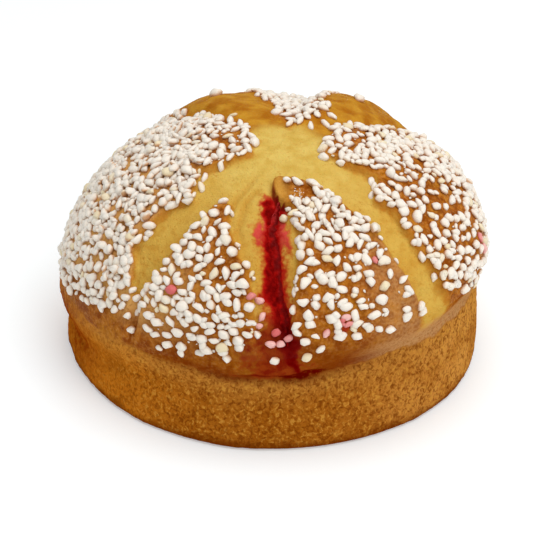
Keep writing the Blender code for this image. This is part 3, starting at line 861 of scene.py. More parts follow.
class Finish:
    """A Principled material, with short ways to add the nodes that colour it."""

    def __init__(self, name, **sockets):
        self.material = bpy.data.materials.new(name)
        self.material.use_nodes = True
        self.shader = self.material.node_tree.nodes["Principled BSDF"]
        for socket, value in sockets.items():
            self.shader.inputs[socket.replace("_", " ")].default_value = value
        self.place = self.node("ShaderNodeTexCoord", {}).outputs["Object"]

    def node(self, kind, inputs, **settings):
        return add_node(self.material.node_tree, kind, inputs, **settings)

    def shade(self, socket, value):
        """What goes into a socket of the shader."""
        feed(self.material.node_tree, self.shader.inputs[socket], value)

    def field(self, name):
        """A number that the mesh carries at each point."""
        return self.node("ShaderNodeAttribute", {}, attribute_name=name).outputs["Fac"]

    def along(self, axis):
        """Place along X, to the right, or along Z, upwards, in metres."""
        return self.node("ShaderNodeSeparateXYZ", {0: self.place}).outputs[axis]

    def sum(self, operation, first, second):
        return self.node("ShaderNodeMath", {0: first, 1: second}, operation=operation).outputs[0]

    def times(self, first, second):
        return self.sum("MULTIPLY", first, second)

    def rise(self, value, low, high):
        """Smooth rise from 0 where a value is low to 1 where it is high."""
        inputs = {"Value": value, "From Min": low, "From Max": high}
        return self.node("ShaderNodeMapRange", inputs, interpolation_type="SMOOTHSTEP").outputs["Result"]

    def blend(self, share, start, end):
        """Colour that goes from start to end with a share."""
        node = self.node("ShaderNodeMix", {"Factor": share}, data_type="RGBA")
        colours = [socket for socket in node.inputs if socket.type == "RGBA"]
        for socket, colour in zip(colours, (start, end)):
            feed(self.material.node_tree, socket, colour)
        return next(socket for socket in node.outputs if socket.type == "RGBA")

    def coat(self, under, over, share, strength):
        """A colour laid over another, by a share times a strength."""
        return self.blend(self.times(share, strength), under, over)

    def noise(self, size, detail=3.0, distortion=0.0, upright=1.0):
        """Cloudy number between 0 and 1, with clouds about size across in metres, drawn out upwards."""
        stretch = (1.0, 1.0, 1.0 / upright)
        flat = self.node("ShaderNodeVectorMath", {0: self.place, 1: stretch}, operation="MULTIPLY")
        inputs = {"Vector": flat.outputs[0], "Scale": 1.0 / size, "Detail": detail, "Distortion": distortion}
        return self.node("ShaderNodeTexNoise", inputs).outputs["Fac"]

    def bump(self, height, depth):
        """Relief too fine for the mesh, of a depth in metres."""
        node = self.node("ShaderNodeBump", {"Height": height, "Distance": depth})
        self.shade("Normal", node.outputs["Normal"])


def side_colour(crust, above, broad, fine, fibre):
    """Bare side: brown in patches, golden under the seam, with dark pores and pale strands."""
    across = crust.along("X")
    plain = crust.sum("ADD", crust.times(crust.rise(across, -0.070, -0.030), 0.45), 0.55)
    # Orange at the left, paler at the right: the orange is the crust's own tone, and the paler right is
    # painted light.
    side = crust.blend(crust.rise(across, -0.075, -0.010), SIDE_LEFT, SIDE_MIDDLE)
    side = crust.blend(crust.rise(across, 0.018, 0.075), side, SIDE_RIGHT_LIT)
    side = crust.coat(side, SIDE_BROWN, crust.rise(broad, 0.42, 0.66), 0.5)
    side = crust.coat(side, SIDE_GOLD, crust.rise(above, -14.0, -1.0), 0.55)
    side = crust.coat(side, PORE_BROWN, crust.rise(fibre, 0.52, 0.34), crust.times(plain, 0.75))
    side = crust.coat(side, FIBRE_PALE, crust.rise(fibre, 0.53, 0.66), crust.times(plain, 0.70))
    side = crust.coat(side, PORE_BROWN, crust.field("pore"), crust.times(plain, 0.6))
    patchy = crust.sum("ADD", crust.times(crust.rise(fine, 0.36, 0.60), 0.50), 0.50)
    side = crust.coat(side, SCORCH, crust.field("scorch"), patchy)
    return crust.coat(side, RIM_BROWN, crust.field("rim"), 0.85)


def glaze_colour(crust, above, broad, fine, tiny):
    """Egg-glazed petals: mottled brown, frosted by the sugar at the left, darker at the foot."""
    glaze = crust.blend(crust.rise(fine, 0.35, 0.68), GLAZE_DARK, GLAZE_LIGHT)
    glaze = crust.coat(glaze, GLAZE_GOLD, crust.rise(broad, 0.45, 0.7), 0.6)
    glaze = crust.coat(glaze, GLAZE_SPECK, crust.rise(tiny, 0.50, 0.66), 0.35)
    frosted = crust.times(crust.rise(crust.along("X"), -0.015, -0.055), crust.rise(above, 6.0, 15.0))
    glaze = crust.coat(glaze, GLAZE_PALE, frosted, 0.85)
    glaze = crust.coat(glaze, GLAZE_FOOT, crust.field("foot"), 0.8)
    glaze = crust.coat(glaze, PORE_BROWN, crust.rise(tiny, 0.46, 0.34), 0.35)
    return crust.coat(glaze, FLAP_GOLD, crust.field("flap"), 0.9)


def dough_colour(crust, petal, broad, fine, tiny):
    """Opened dough: pale at the heart, browner behind it, toasted beside the petals, with painted shade in
    the folds.
    """
    dough = crust.blend(crust.rise(broad, 0.3, 0.7), DOUGH_GOLD, DOUGH_PALE)
    dough = crust.coat(dough, DOUGH_DEEP, crust.rise(fine, 0.42, 0.70), 0.6)
    dough = crust.coat(dough, DOUGH_DEEP, crust.rise(tiny, 0.56, 0.70), 0.3)
    streaks = crust.noise(0.0065, 5.0, distortion=0.3)
    heart = crust.blend(crust.rise(streaks, 0.28, 0.70), HEART_DEEP, HEART_PALE)
    dough = crust.blend(crust.field("heart"), dough, heart)
    back = crust.blend(crust.rise(streaks, 0.30, 0.68), BACK_BROWN, BACK_GOLD)
    dough = crust.coat(dough, back, crust.field("back"), crust.rise(crust.field("heart"), 0.85, 0.2))
    # Painted shade in the folds.
    dough = crust.coat(dough, DOUGH_DEEP, crust.field("fold"), 0.55)
    dough = crust.coat(dough, EDGE_TOAST, crust.rise(tiny, 0.60, 0.74), 0.5)
    return crust.coat(dough, EDGE_TOAST, crust.rise(petal, -2.0, 0.8), 0.8)


def juiced(crust, colour):
    """A colour of the crust under juice and fruit, which are pink above and brown at the foot."""
    mottle = crust.sum("SUBTRACT", crust.noise(0.0017, 4.0), 0.5)
    wet = crust.rise(crust.field("juice"), 0.0, 0.16)
    juice = crust.sum("ADD", crust.field("juice"), crust.times(mottle, 1.2))
    fruit = crust.sum("ADD", crust.field("fruit"), crust.times(mottle, 0.8))
    low = crust.rise(crust.along("Z"), 0.060, 0.050)
    red = crust.blend(crust.rise(crust.along("Z"), 0.072, 0.080), JUICE_BRICK, JUICE_PINK)
    foot = crust.blend(crust.rise(crust.noise(0.0034, 4.0), 0.36, 0.62), JUICE_DEEP, JUICE_BROWN)
    red = crust.blend(low, red, foot)
    orange = crust.blend(low, JUICE_ORANGE, JUICE_TAN)
    deep = crust.blend(low, JUICE_RED, JUICE_DEEP)
    colour = crust.coat(colour, orange, crust.rise(juice, -0.1, 0.55), crust.times(wet, 0.75))
    colour = crust.coat(colour, red, crust.rise(juice, 0.25, 0.85), crust.times(wet, 0.9))
    colour = crust.coat(colour, deep, crust.rise(fruit, 0.10, 0.80), wet)
    # Dark fruit, darkened also by painted shadow.
    return crust.coat(colour, FRUIT_DARK_AND_SHADOW, crust.rise(fruit, 0.60, 1.15), wet)


def crust_finish(name, shine):
    """Baked crust: bare fibrous side, egg-glazed petals, and dough opened along the scores."""
    crust = Finish(name, Roughness=0.5, Specular_IOR_Level=shine, Subsurface_Weight=0.05,
                   Subsurface_Scale=0.002)
    broad, fine, tiny = crust.noise(0.012), crust.noise(0.0030), crust.noise(0.0011)
    fibre = crust.noise(0.0014, 6.0, distortion=0.9, upright=1.15)
    above = crust.field("above_seam")
    petal = crust.sum("ADD", crust.field("petal"), crust.times(crust.sum("SUBTRACT", fine, 0.5), 3.2))
    in_petal = crust.rise(petal, -0.6, 2.6)
    glaze = glaze_colour(crust, above, broad, fine, tiny)
    dome = crust.blend(in_petal, dough_colour(crust, petal, broad, fine, tiny), glaze)
    mottled = crust.sum("ADD", crust.times(crust.rise(tiny, 0.36, 0.58), 0.42), 0.48)
    # Painted sheen on the glaze.
    dome = crust.coat(dome, GLAZE_SHEEN, crust.field("painted_sheen"), mottled)

    border = crust.rise(above, -1.1, 0.9)
    colour = crust.blend(border, side_colour(crust, above, broad, fine, fibre), dome)
    # Painted shade in the creases over the seam.
    colour = juiced(crust, crust.coat(colour, CREASE_SHADE, crust.field("crease"), 0.8))
    # Painted shade in the gap under the dome at the front.
    line = crust.times(crust.field("gap_shade"), crust.rise(tiny, 0.24, 0.44))
    colour = crust.blend(crust.rise(line, 0.15, 0.60), colour, FOOT_SHADE)
    # Painted shadow along the edge of the flap, with its dark spots.
    colour = crust.coat(colour, FLAP_SHADE, crust.rise(crust.field("flap_shadow_and_spots"), 0.15, 0.65), 0.85)
    colour = crust.coat(colour, JUICE_BRICK, crust.rise(crust.field("stains"), 0.25, 0.75), 0.85)
    crust.shade("Base Color", colour)
    gloss = crust.blend(in_petal, (0.60,) * 3, (0.36,) * 3)
    crust.shade("Roughness", crust.blend(border, (0.75,) * 3, gloss))
    crust.bump(crust.sum("ADD", fibre, crust.times(crust.noise(0.0005), 0.4)), 0.0006)
    return crust.material


def linear(red, green, blue):
    """Linear colour of a display colour given in 0 to 255."""
    return tuple((part / 255 / 12.92) if part < 11 else ((part / 255 + 0.055) / 1.055) ** 2.4
                 for part in (red, green, blue))


# Colours, as seen in even light, though some of them stand for painted shade, shadow, sheen and light.
SIDE_LEFT = linear(204, 120, 26)
SIDE_MIDDLE = linear(168, 98, 24)
# Paler right side: painted light.
SIDE_RIGHT_LIT = linear(210, 144, 64)
SIDE_BROWN = linear(152, 82, 10)
SIDE_GOLD = linear(204, 140, 60)
FIBRE_PALE = linear(208, 146, 56)
PORE_BROWN = linear(118, 54, 4)
SCORCH = linear(134, 40, 0)
RIM_BROWN = linear(112, 46, 0)
GLAZE_DARK = linear(144, 72, 10)
GLAZE_LIGHT = linear(186, 112, 34)
GLAZE_SPECK = linear(210, 150, 84)
GLAZE_GOLD = linear(198, 130, 34)
GLAZE_PALE = linear(224, 170, 98)
GLAZE_FOOT = linear(130, 58, 4)
DOUGH_PALE = linear(214, 174, 80)
DOUGH_GOLD = linear(208, 160, 66)
DOUGH_DEEP = linear(196, 139, 48)
HEART_PALE = linear(224, 192, 100)
HEART_DEEP = linear(208, 168, 74)
BACK_BROWN = linear(172, 104, 18)
BACK_GOLD = linear(204, 146, 44)
FLAP_GOLD = linear(214, 158, 68)
EDGE_TOAST = linear(188, 118, 28)
# Painted sheen on the glaze.
GLAZE_SHEEN = linear(196, 145, 92)
# Painted shade in the creases.
CREASE_SHADE = linear(106, 26, 0)
FLAP_SHADE = linear(118, 18, 8)
FOOT_SHADE = linear(98, 8, 0)
JUICE_ORANGE = linear(190, 96, 28)
JUICE_TAN = linear(150, 70, 18)
JUICE_PINK = linear(216, 70, 70)
JUICE_BRICK = linear(176, 44, 26)
JUICE_BROWN = linear(146, 54, 14)
JUICE_DEEP = linear(122, 16, 6)
JUICE_RED = linear(172, 14, 10)
FRUIT_RED = linear(164, 8, 4)
# Dark fruit, with painted shadow.
FRUIT_DARK_AND_SHADOW = linear(104, 0, 0)
SUGAR_WHITE = linear(243, 234, 221)
SUGAR_CREAM = linear(236, 220, 184)
# Foot of the nibs: glaze taken up by the sugar, and painted shade.
SUGAR_SOAKED_SHADE = linear(204, 150, 98)
SUGAR_PINK = linear(240, 188, 180)
SUGAR_RED = linear(216, 104, 102)


def sugar_finish(name, pale, tinted, soaked_shade, untinted):
    """Opaque pressed sugar, faintly grainy, a share left untinted, browned where it sits in the glaze,
    partly by glaze it takes up and partly by painted shade.
    """
    sugar = Finish(name, Roughness=0.48, Specular_IOR_Level=0.35, Subsurface_Weight=0.2,
                   Subsurface_Scale=0.0010, Subsurface_Radius=(1.0, 0.92, 0.80))
    colour = sugar.blend(sugar.rise(sugar.field("tint"), untinted, 1.0), pale, tinted)
    uneven = sugar.times(sugar.sum("SUBTRACT", sugar.noise(0.0030), 0.5), 0.5)
    foot = sugar.sum("ADD", sugar.field("lift"), uneven)
    # Low on each nib: glaze taken up by the sugar, and painted shade.
    colour = sugar.coat(colour, soaked_shade, sugar.rise(foot, 0.40, 0.0), 0.22)
    colour = sugar.coat(colour, soaked_shade, sugar.rise(foot, 0.16, -0.18), 0.85)
    sugar.shade("Base Color", colour)
    sugar.bump(sugar.noise(0.0006), 0.00025)
    return sugar.material


def fruit_finish():
    """Moist cooked fruit: dark red in the middle and to the right, partly painted shadow of the petal's
    edge, with lighter flecks and a brighter right edge.
    """
    fruit = Finish("red_fruit", Roughness=0.40, Specular_IOR_Level=0.05)
    ragged = fruit.times(fruit.sum("SUBTRACT", fruit.noise(0.0026, 4.0), 0.5), 3.0)
    across = fruit.sum("ADD", fruit.field("across"), ragged)
    fringe = fruit.times(fruit.rise(across, 0.45, 1.0), 0.6)
    # Dark in the middle and to the right: the fruit's dark red, and painted shadow of the petal's edge.
    shade = fruit.sum("MAXIMUM", fruit.rise(across, 0.3, -0.9), fringe)
    colour = fruit.blend(shade, FRUIT_DARK_AND_SHADOW, FRUIT_RED)
    upper = fruit.times(fruit.rise(fruit.along("Z"), 0.076, 0.083), shade)
    colour = fruit.coat(colour, JUICE_PINK, upper, fruit.rise(fruit.noise(0.0050), 0.40, 0.60))
    fruit.shade("Base Color", colour)
    fruit.bump(fruit.noise(0.0009), 0.0006)
    return fruit.material


def make_crust():
    """The crust, in two closed shells that meet at the waist. Returns its grids and fields."""
    dome_caps = (0.0, 0.0, DOME_FLOOR), dome_point(SCORE_CENTRE[None])[0]
    wall_caps = (0.0, 0.0, 0.0), (0.0, 0.0, WALL_CEILING)
    shells = (
        ("crust_dome", dome_grid(), DOME_SHINE, dome_caps),
        ("crust_wall", wall_grid(), WALL_SHINE, wall_caps),
    )
    skins = []
    for name, grid, shine, caps in shells:
        fields = skin_fields(grid)
        skin, normals = bake_relief(grid, fields)
        mesh = mesh_from_rings(name, skin, fields, *caps)
        piece = place_piece(name, mesh, crust_finish(name, shine))
        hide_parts("brioche")
        skins.append((skin, normals, fields))
    return skins


def filling_ring(share):
    """One ring of the filling: its crowned top across the furrow, then the wedge into the crumb."""
    direction = math.radians(FRONT_AZIMUTH)
    across = np.array((-math.sin(direction), math.cos(direction)))
    rim = rim_points(np.array([direction]))[0]
    plan = mix(SCORE_CENTRE, rim, rim_share(mix(FILLING_TOP, FILLING_FOOT, share)))
    plan = plan + across * along(FURROW_BENDS, np.hypot(*(plan - SCORE_CENTRE)))
    mouth, inward = dome_point(plan), -dome_normal(plan)
    under_flap = smooth_step(-FLAP_TUCK_EDGE, FLAP_TUCK_EDGE, into_petal(plan)) * (share < 0.5)
    mouth = mouth + inward * FLAP_TUCK * under_flap
    fullness = smooth_step(0.0, FILLING_TAPER, min(share, 1.0 - share))
    width = mix(FILLING_END_WIDTH, 1.0, fullness)
    half = FILLING_WIDTH / 2 * (1.0 + waves(TURN * share, FILLING_WAVES)) * width
    root = FILLING_ROOT_WIDTH / 2 * width
    depth = FILLING_DEPTH * mix(FILLING_END_DEPTH, 1.0, fullness)
    sideways = np.append(across, 0.0)
    ways = np.linspace(-1.0, 1.0, FILLING_ACROSS)
    crowns = [FILLING_CROWN * (1.0 - FILLING_ROUNDNESS * way * way) for way in ways]
    top = [mouth + sideways * half * way - inward * crown for way, crown in zip(ways, crowns)]
    root_points = [mouth + inward * depth + sideways * root, mouth + inward * depth - sideways * root]
    return np.array(top + root_points)


def make_filling():
    """Red fruit filling that shows in the front score, lumpy and moist."""
    rings = np.array([filling_ring(share) for share in np.linspace(0.0, 1.0, FILLING_STATIONS)])
    normals = grid_normals(rings)
    lumps = ripples(rings, FILLING_RIPPLES)
    lumps[:, FILLING_ACROSS:] = 0.0
    rings = rings + normals * (FILLING_LUMPS * lumps)[..., None]
    ring = np.append(np.linspace(-1.0, 1.0, FILLING_ACROSS), (1.0, -1.0))
    across = np.broadcast_to(ring, rings.shape[:2])
    caps = rings[0].mean(axis=0), rings[-1].mean(axis=0)
    mesh = mesh_from_rings("fruit_filling", rings, {"across": across}, *caps)
    shape = bmesh.new()
    shape.from_mesh(mesh)
    bmesh.ops.recalc_face_normals(shape, faces=shape.faces)
    shape.to_mesh(mesh)
    shape.free()
    piece = place_piece("fruit_filling", mesh, fruit_finish())
    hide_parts("red_filling")


Nib = namedtuple("Nib", "point normal size spin tilt kind stained")
Seats = namedtuple("Seats", "points normals into distances azimuths clumping")


def gather_seats(skins):
    """Places on the petals where sugar can lie."""
    points = np.concatenate([skin.reshape(-1, 3) for skin, _, _ in skins])
    normals = np.concatenate([normals.reshape(-1, 3) for _, normals, _ in skins])
    into = np.concatenate([fields["petal"].ravel() for _, _, fields in skins]) * MM
    above = np.concatenate([fields["above_seam"].ravel() for _, _, fields in skins]) * MM
    distances, azimuths = star_place(points[:, :2])
    degrees = np.degrees(azimuths)
    feet = along(NIB_FEET, np.degrees(plan_azimuth(points)))
    on_flap = (distances < FLAP_BARE[0]) & (degrees > FLAP_BARE[1]) & (degrees < FLAP_BARE[2])
    margin = ripples(points, STRAY_RIPPLES, NIB_MARGIN)
    patchy = ripples(points, BARE_RIPPLES)
    lane = np.abs(side_from(along(SHUT_SCORES[0], distances), distances, azimuths)) < BARE_LANE + margin / 2
    lane &= (distances > BARE_LANE_REACH[0]) & (distances < BARE_LANE_REACH[1]) & (np.cos(azimuths) > 0.0)
    sweet = (into > margin) & (above > feet) & ~on_flap & ~lane & (patchy < BARE_PATCHES)
    clumping = 1.0 + CLUMPING * ripples(points, CLUMP_RIPPLES)
    return Seats(*(column[sweet] for column in (points, normals, into, distances, degrees, clumping)))


def crowding_at(distance, azimuth):
    """How close the nibs lie, as a share of their size, at a star place."""
    for end, near, far, *turnover in CROWDING:
        if azimuth % 360.0 < end:
            break
    return mix(near, far, float(smooth_step(*turnover, distance)))


def is_stained(distance, azimuth):
    """Whether juice has reached a nib."""
    return any(math.hypot(distance - reach, distance * math.radians(azimuth - place)) < STAINED_SPOT_REACH
               for reach, place in STAINED_SPOTS)


class Spread:
    """Nibs set down so far, kept by cells of space so that close ones are found fast."""

    def __init__(self, cell_size):
        self.cell_size = cell_size
        self.cells = {}
        self.nibs = []

    def home(self, point):
        return tuple(np.floor(point / self.cell_size).astype(int))

    def has_room(self, point, reach, crowding, layer, partner=None):
        home = self.home(point)
        for step in itertools.product((-1, 0, 1), repeat=3):
            for other, far, level in self.cells.get(tuple(np.add(home, step)), ()):
                offset = other - point
                near = level == layer and offset @ offset < (crowding * (reach + far)) ** 2
                if near and other is not partner:
                    return False
        return True

    def add(self, nib, reach, layer):
        self.cells.setdefault(self.home(nib.point), []).append((nib.point, reach, layer))
        self.nibs.append(nib)


def stuck_nib(nib, chance):
    """A smaller nib stuck to the side of another, turned its own way."""
    way = chance.uniform(0.0, TURN)
    reach = (nib.size[0] + nib.size[1]) / 2 * PAIR_GAP
    offset = np.cross(nib.normal, (math.cos(way), math.sin(way), 0.0)) * reach
    size = nib.size * chance.uniform(*PAIR_SIZES)
    spin = nib.spin + chance.uniform(*PAIR_TURNS)
    return Nib(nib.point + offset, nib.normal, size, spin, nib.tilt, nib.kind, nib.stained)


def scatter_nibs(skins):
    """Pearl sugar nibs: the lone ones, then the rest of each size, crowded where the loaf has most."""
    chance = np.random.default_rng(NIB_SEED)
    seats = gather_seats(skins)
    spread = Spread(NIB_PASSES[0][0])
    for distance, azimuth, length, stained in LONE_NIBS:
        turn = math.radians(azimuth)
        plan = star_point(distance, turn)
        size = length * np.array((1.0, chance.uniform(*LONE_WIDTHS), chance.uniform(*LONE_THICKNESSES)))
        normal = dome_normal(plan)
        lift = FILLING_CROWN * hump(furrow_side(distance, turn), FURROW_HALF_WIDTH)
        point = dome_point(plan) + normal * (size[2] * (0.5 - NIB_SINK) + lift)
        spin, kind = chance.uniform(0.0, TURN), int(chance.integers(NIB_SHAPES))
        nib = Nib(point, normal, size, spin, 0.0, kind, stained)
        spread.add(nib, (size[0] + size[1]) / 4, 0)
    for distance, azimuth, length, direction in FAN_NIBS:
        turn = math.radians(azimuth)
        plan = star_point(distance, turn)
        size = length * np.array((1.0, *FAN_WIDTHS))
        normal = dome_normal(plan)
        point = dome_point(plan) + normal * size[2] * (0.5 - NIB_SINK)
        tilt = FAN_TILT * math.sin(math.radians(direction))
        kind = int(chance.integers(NIB_SHAPES))
        nib = Nib(point, normal, size, math.radians(direction), tilt, kind, False)
        spread.add(nib, (size[0] + size[1]) / 4, 0)
    for layer, (longest, shortest, tries) in itertools.product((0, 1), NIB_PASSES):
        for seat in chance.integers(len(seats.points), size=tries):
            distance, azimuth, into = seats.distances[seat], seats.azimuths[seat], seats.into[seat]
            crowding = crowding_at(distance, azimuth)
            dense = crowding < DENSE_CROWDING
            if layer == 1:
                apart = not dense or distance > SECOND_LAYER_END or chance.random() > SECOND_LAYER_SHARE
                if apart or into < SECOND_LAYER_EDGE:
                    continue
            length = chance.uniform(shortest, longest)
            slender = dense and distance < SLENDER_REACH and chance.random() < SLENDER_SHARE
            stretch = SLENDER_STRETCH if slender else 1.0
            width = chance.uniform(*(SLENDER_WIDTHS if slender else NIB_WIDTHS))
            size = length * np.array((stretch, width, width * chance.uniform(*NIB_THICKNESSES)))
            reach = (size[0] + size[1]) / 4
            normal = seats.normals[seat]
            point = seats.points[seat] + normal * (size[2] * (0.5 - NIB_SINK) + layer * SECOND_LAYER_RISE)
            room = crowding * seats.clumping[seat] + SECOND_LAYER_ROOM * layer
            if not spread.has_room(point, reach, room, layer):
                continue
            outward = math.radians(azimuth)
            spin = outward + chance.normal(0.0, SLENDER_TURN) if slender else chance.uniform(0.0, TURN)
            tilt = chance.normal(0.0, NIB_TILT + SECOND_LAYER_TILT * layer)
            kind = int(chance.integers(NIB_SHAPES))
            nib = Nib(point, normal, size, spin, tilt, kind, is_stained(distance, azimuth))
            spread.add(nib, reach, layer)
            if chance.random() < PAIR_SHARE:
                twin = stuck_nib(nib, chance)
                room = crowding * PAIR_CROWDING
                if spread.has_room(twin.point, reach * PAIR_GAP, room, layer, nib.point):
                    spread.add(twin, reach, layer)
    return spread.nibs


def scatter_crumbs(skins):
    """Chips of sugar between the nibs."""
    chance = np.random.default_rng(NIB_SEED + 1)
    seats = gather_seats(skins)
    crumbs = []
    for seat in chance.integers(len(seats.points), size=CRUMB_COUNT):
        length = chance.uniform(*CRUMB_LENGTHS)
        size = length * np.array((1.0, chance.uniform(*CRUMB_WIDTHS), chance.uniform(*CRUMB_THICKNESSES)))
        point = seats.points[seat] + seats.normals[seat] * size[2] * CRUMB_SEAT
        crumbs.append(Nib(point, seats.normals[seat], size, chance.uniform(0.0, TURN), 0.0, 0, False))
    for _ in range(FLAP_CRYSTALS):
        distance, azimuth = FLAP_SUGAR + chance.normal(0.0, FLAP_SUGAR_SPREAD)
        plan = star_point(distance, azimuth)
        size = chance.uniform(*CRYSTAL_LENGTHS) * np.array(CRYSTAL_SHAPE)
        spin = chance.uniform(0.0, TURN)
        crumbs.append(Nib(dome_point(plan), dome_normal(plan), size, spin, 0.0, 0, False))
    return crumbs


def nib_shape(chance, fineness):
    """Pressed sugar lump one unit across: a ball pared by random flats."""
    shape = bmesh.new()
    bmesh.ops.create_icosphere(shape, subdivisions=fineness, radius=0.5)
    for _ in range(LUMP_FLATS):
        flat = Vector(chance.normal(size=3)).normalized()
        reach = chance.uniform(*LUMP_REACH)
        for vertex in shape.verts:
            vertex.co -= flat * max(0.0, vertex.co.dot(flat) - reach)
    mesh = bpy.data.meshes.new("nib_shape")
    heights = [vertex.co.z for vertex in shape.verts]
    shape.to_mesh(mesh)
    shape.free()
    mesh.attributes.new("lift", "FLOAT", "POINT").data.foreach_set("value", heights)
    return mesh


def nib_rotation(nib):
    """Turn of a nib: flat on the skin, its length along its spin, then tilted."""
    normal = Vector(nib.normal)
    forward = Vector((math.cos(nib.spin), math.sin(nib.spin), 0.0))
    side = normal.cross(forward).normalized()
    forward = side.cross(normal)
    turn = Matrix((forward, side, normal)).transposed()
    return (turn @ Matrix.Rotation(nib.tilt, 3, "Y")).to_euler()


def scatter_tree(shapes):
    """Geometry Nodes that set a shape on each place, roughen it and make it one mesh."""
    tree = bpy.data.node_groups.new("sugar_on_crust", "GeometryNodeTree")
    sockets = (
        ("Places", "Geometry"), ("Roughening", "Float"), ("Lump Size", "Float"), ("Seed", "Int"),
        ("Finish", "Material"),
    )
    for name, kind in sockets:
        tree.interface.new_socket(name, in_out="INPUT", socket_type="NodeSocket" + kind)
    tree.interface.new_socket("Sugar", in_out="OUTPUT", socket_type="NodeSocketGeometry")

    def add(kind, inputs, **settings):
        return add_node(tree, kind, inputs, **settings).outputs

    def named(name, kind):
        return add("GeometryNodeInputNamedAttribute", {"Name": name}, data_type=kind)["Attribute"]

    given = add("NodeGroupInput", {})
    separate = {"Collection": shapes, "Separate Children": True, "Reset Children": True}
    nibs = add("GeometryNodeInstanceOnPoints", {
        "Points": given["Places"], "Instance": add("GeometryNodeCollectionInfo", separate)["Instances"],
        "Pick Instance": True, "Instance Index": named("kind", "INT"),
        "Rotation": named("turn", "FLOAT_VECTOR"), "Scale": named("size", "FLOAT_VECTOR"),
    })["Instances"]
    tint = add("FunctionNodeRandomValue", {"Seed": given["Seed"]})[1]
    tinting = {"Geometry": nibs, "Name": "tint", "Value": tint}
    nibs = add("GeometryNodeStoreNamedAttribute", tinting, domain="INSTANCE")["Geometry"]
    nibs = add("GeometryNodeRealizeInstances", {"Geometry": nibs})["Geometry"]

    fineness = add("ShaderNodeMath", {0: 1.0, 1: given["Lump Size"]}, operation="DIVIDE")[0]
    lumps = add("ShaderNodeTexNoise", {"Scale": fineness})["Color"]
    centred = add("ShaderNodeVectorMath", {0: lumps, 1: (0.5, 0.5, 0.5)}, operation="SUBTRACT")["Vector"]
    amount = {0: centred, "Scale": given["Roughening"]}
    push = add("ShaderNodeVectorMath", amount, operation="SCALE")["Vector"]
    nibs = add("GeometryNodeSetPosition", {"Geometry": nibs, "Offset": push})["Geometry"]
    nibs = add("GeometryNodeSetShadeSmooth", {"Geometry": nibs})["Geometry"]
    nibs = add("GeometryNodeSetMaterial", {"Geometry": nibs, "Material": given["Finish"]})["Geometry"]
    add("NodeGroupOutput", {"Sugar": nibs})
    return tree


def make_sugar(name, nibs, tree, finish, roughening):
    """One piece of realized nibs, set on their places by the node tree."""
    places = bpy.data.meshes.new(name)
    places.from_pydata([tuple(nib.point) for nib in nibs], [], [])
    vectors = {"size": [nib.size for nib in nibs], "turn": [nib_rotation(nib) for nib in nibs]}
    for field, values in vectors.items():
        attribute = places.attributes.new(field, "FLOAT_VECTOR", "POINT")
        attribute.data.foreach_set("vector", np.array([tuple(value) for value in values]).ravel())
    kinds = places.attributes.new("kind", "INT", "POINT")
    kinds.data.foreach_set("value", [int(nib.kind) for nib in nibs])
    piece = bpy.data.objects.new(name, places)
    bpy.context.scene.collection.objects.link(piece)
    scatter = piece.modifiers.new("scatter", "NODES")
    scatter.node_group = tree
    values = {"Roughening": roughening, "Lump Size": ROUGHENING_SIZE, "Seed": NIB_SEED, "Finish": finish}
    for socket in tree.interface.items_tree:
        if socket.name in values:
            scatter[socket.identifier] = values[socket.name]
    graph = bpy.context.evaluated_depsgraph_get()
    final = piece.evaluated_get(graph)
    made = bpy.data.meshes.new_from_object(final, preserve_all_data_layers=True, depsgraph=graph)
    piece.modifiers.clear()
    piece.data = made
    made.name = name
    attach(piece, "root")
    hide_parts("brioche")
    return piece


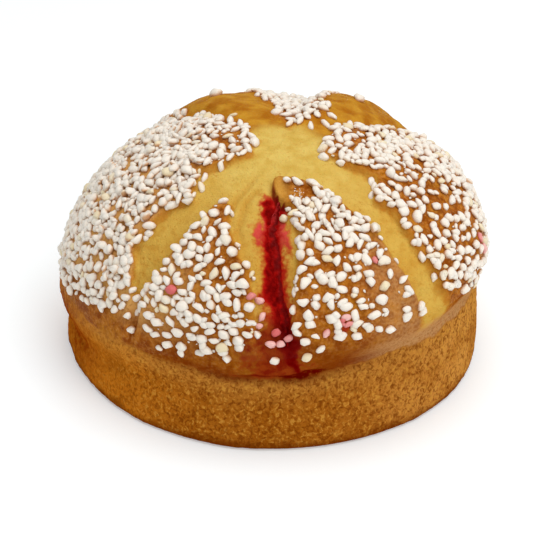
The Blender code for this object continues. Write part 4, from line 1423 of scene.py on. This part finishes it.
def dress_with_sugar(skins):
    """All the sugar: white nibs, nibs that the juice has stained, and chips."""
    chance = np.random.default_rng(NIB_SEED + 2)
    collections = []
    for fineness, count in ((NIB_FINENESS, NIB_SHAPES), (CHIP_FINENESS, 1)):
        collection = bpy.data.collections.new("nib_shapes")
        bpy.context.scene.collection.children.link(collection)
        for index in range(count):
            shape = bpy.data.objects.new("nib_shape_%d" % index, nib_shape(chance, fineness))
            collection.objects.link(shape)
        collections.append(collection)
    nibs = scatter_nibs(skins)
    crumbs = scatter_crumbs(skins)
    white = sugar_finish("pearl_sugar", SUGAR_WHITE, SUGAR_CREAM, SUGAR_SOAKED_SHADE, WHITE_UNTINTED)
    pink = sugar_finish("stained_sugar", SUGAR_PINK, SUGAR_RED, SUGAR_RED, PINK_UNTINTED)
    tree, crumb_tree = scatter_tree(collections[0]), scatter_tree(collections[1])
    make_sugar("pearl_sugar", [nib for nib in nibs if not nib.stained], tree, white, NIB_ROUGHENING)
    make_sugar("stained_sugar", [nib for nib in nibs if nib.stained], tree, pink, NIB_ROUGHENING)
    make_sugar("sugar_chips", crumbs, crumb_tree, white, CHIP_ROUGHENING)
    for collection in collections:
        for item in list(collection.objects):
            bpy.data.objects.remove(item)
        bpy.data.collections.remove(collection)
    print("nibs:", len(nibs), "stained:", sum(nib.stained for nib in nibs))


def make_stage():
    """Pale floor, soft studio light from above and a camera at the photo's viewpoint."""
    floor = Finish("studio_floor", Roughness=0.6, Specular_IOR_Level=0.1, Emission_Color=WHITE,
                   Emission_Strength=FLOOR_GLOW)
    floor.shade("Base Color", FLOOR_WHITE)
    bpy.ops.mesh.primitive_plane_add(size=FLOOR_WIDTH, location=(0.0, 0.0, 0.0))
    stage = bpy.context.object
    stage.name = "floor"
    stage.data.materials.append(floor.material)

    world = bpy.data.worlds.new("studio")
    bpy.context.scene.world = world
    world.use_nodes = True
    background = world.node_tree.nodes["Background"]
    background.inputs["Color"].default_value = WHITE
    background.inputs["Strength"].default_value = WORLD_STRENGTH
    for name, place, size, power in LAMPS:
        lamp = bpy.data.lights.new(name, "AREA")
        lamp.size = size
        lamp.energy = power
        holder = bpy.data.objects.new(name, lamp)
        holder.location = place
        holder.rotation_euler = (Vector(LAMP_AIM) - Vector(place)).to_track_quat("-Z", "Y").to_euler()
        bpy.context.scene.collection.objects.link(holder)

    elevation = math.radians(CAMERA_ELEVATION)
    back = Vector((0.0, -math.cos(elevation), math.sin(elevation)))
    upward = Vector((0.0, math.sin(elevation), math.cos(elevation)))
    target = Vector((0.0, 0.0, AIM_HEIGHT))
    lens = bpy.data.cameras.new("camera")
    lens.lens = CAMERA_LENS
    camera = bpy.data.objects.new("camera", lens)
    camera.location = target + back * CAMERA_DISTANCE
    aim = target + Vector((AIM_RIGHT, 0.0, 0.0)) + upward * AIM_UP
    camera.rotation_euler = (aim - camera.location).to_track_quat("-Z", "Y").to_euler()
    bpy.context.scene.collection.objects.link(camera)
    bpy.context.scene.camera = camera
    bpy.context.scene.view_settings.view_transform = "Standard"


skins = make_crust()
make_filling()
dress_with_sugar(skins)
make_stage()
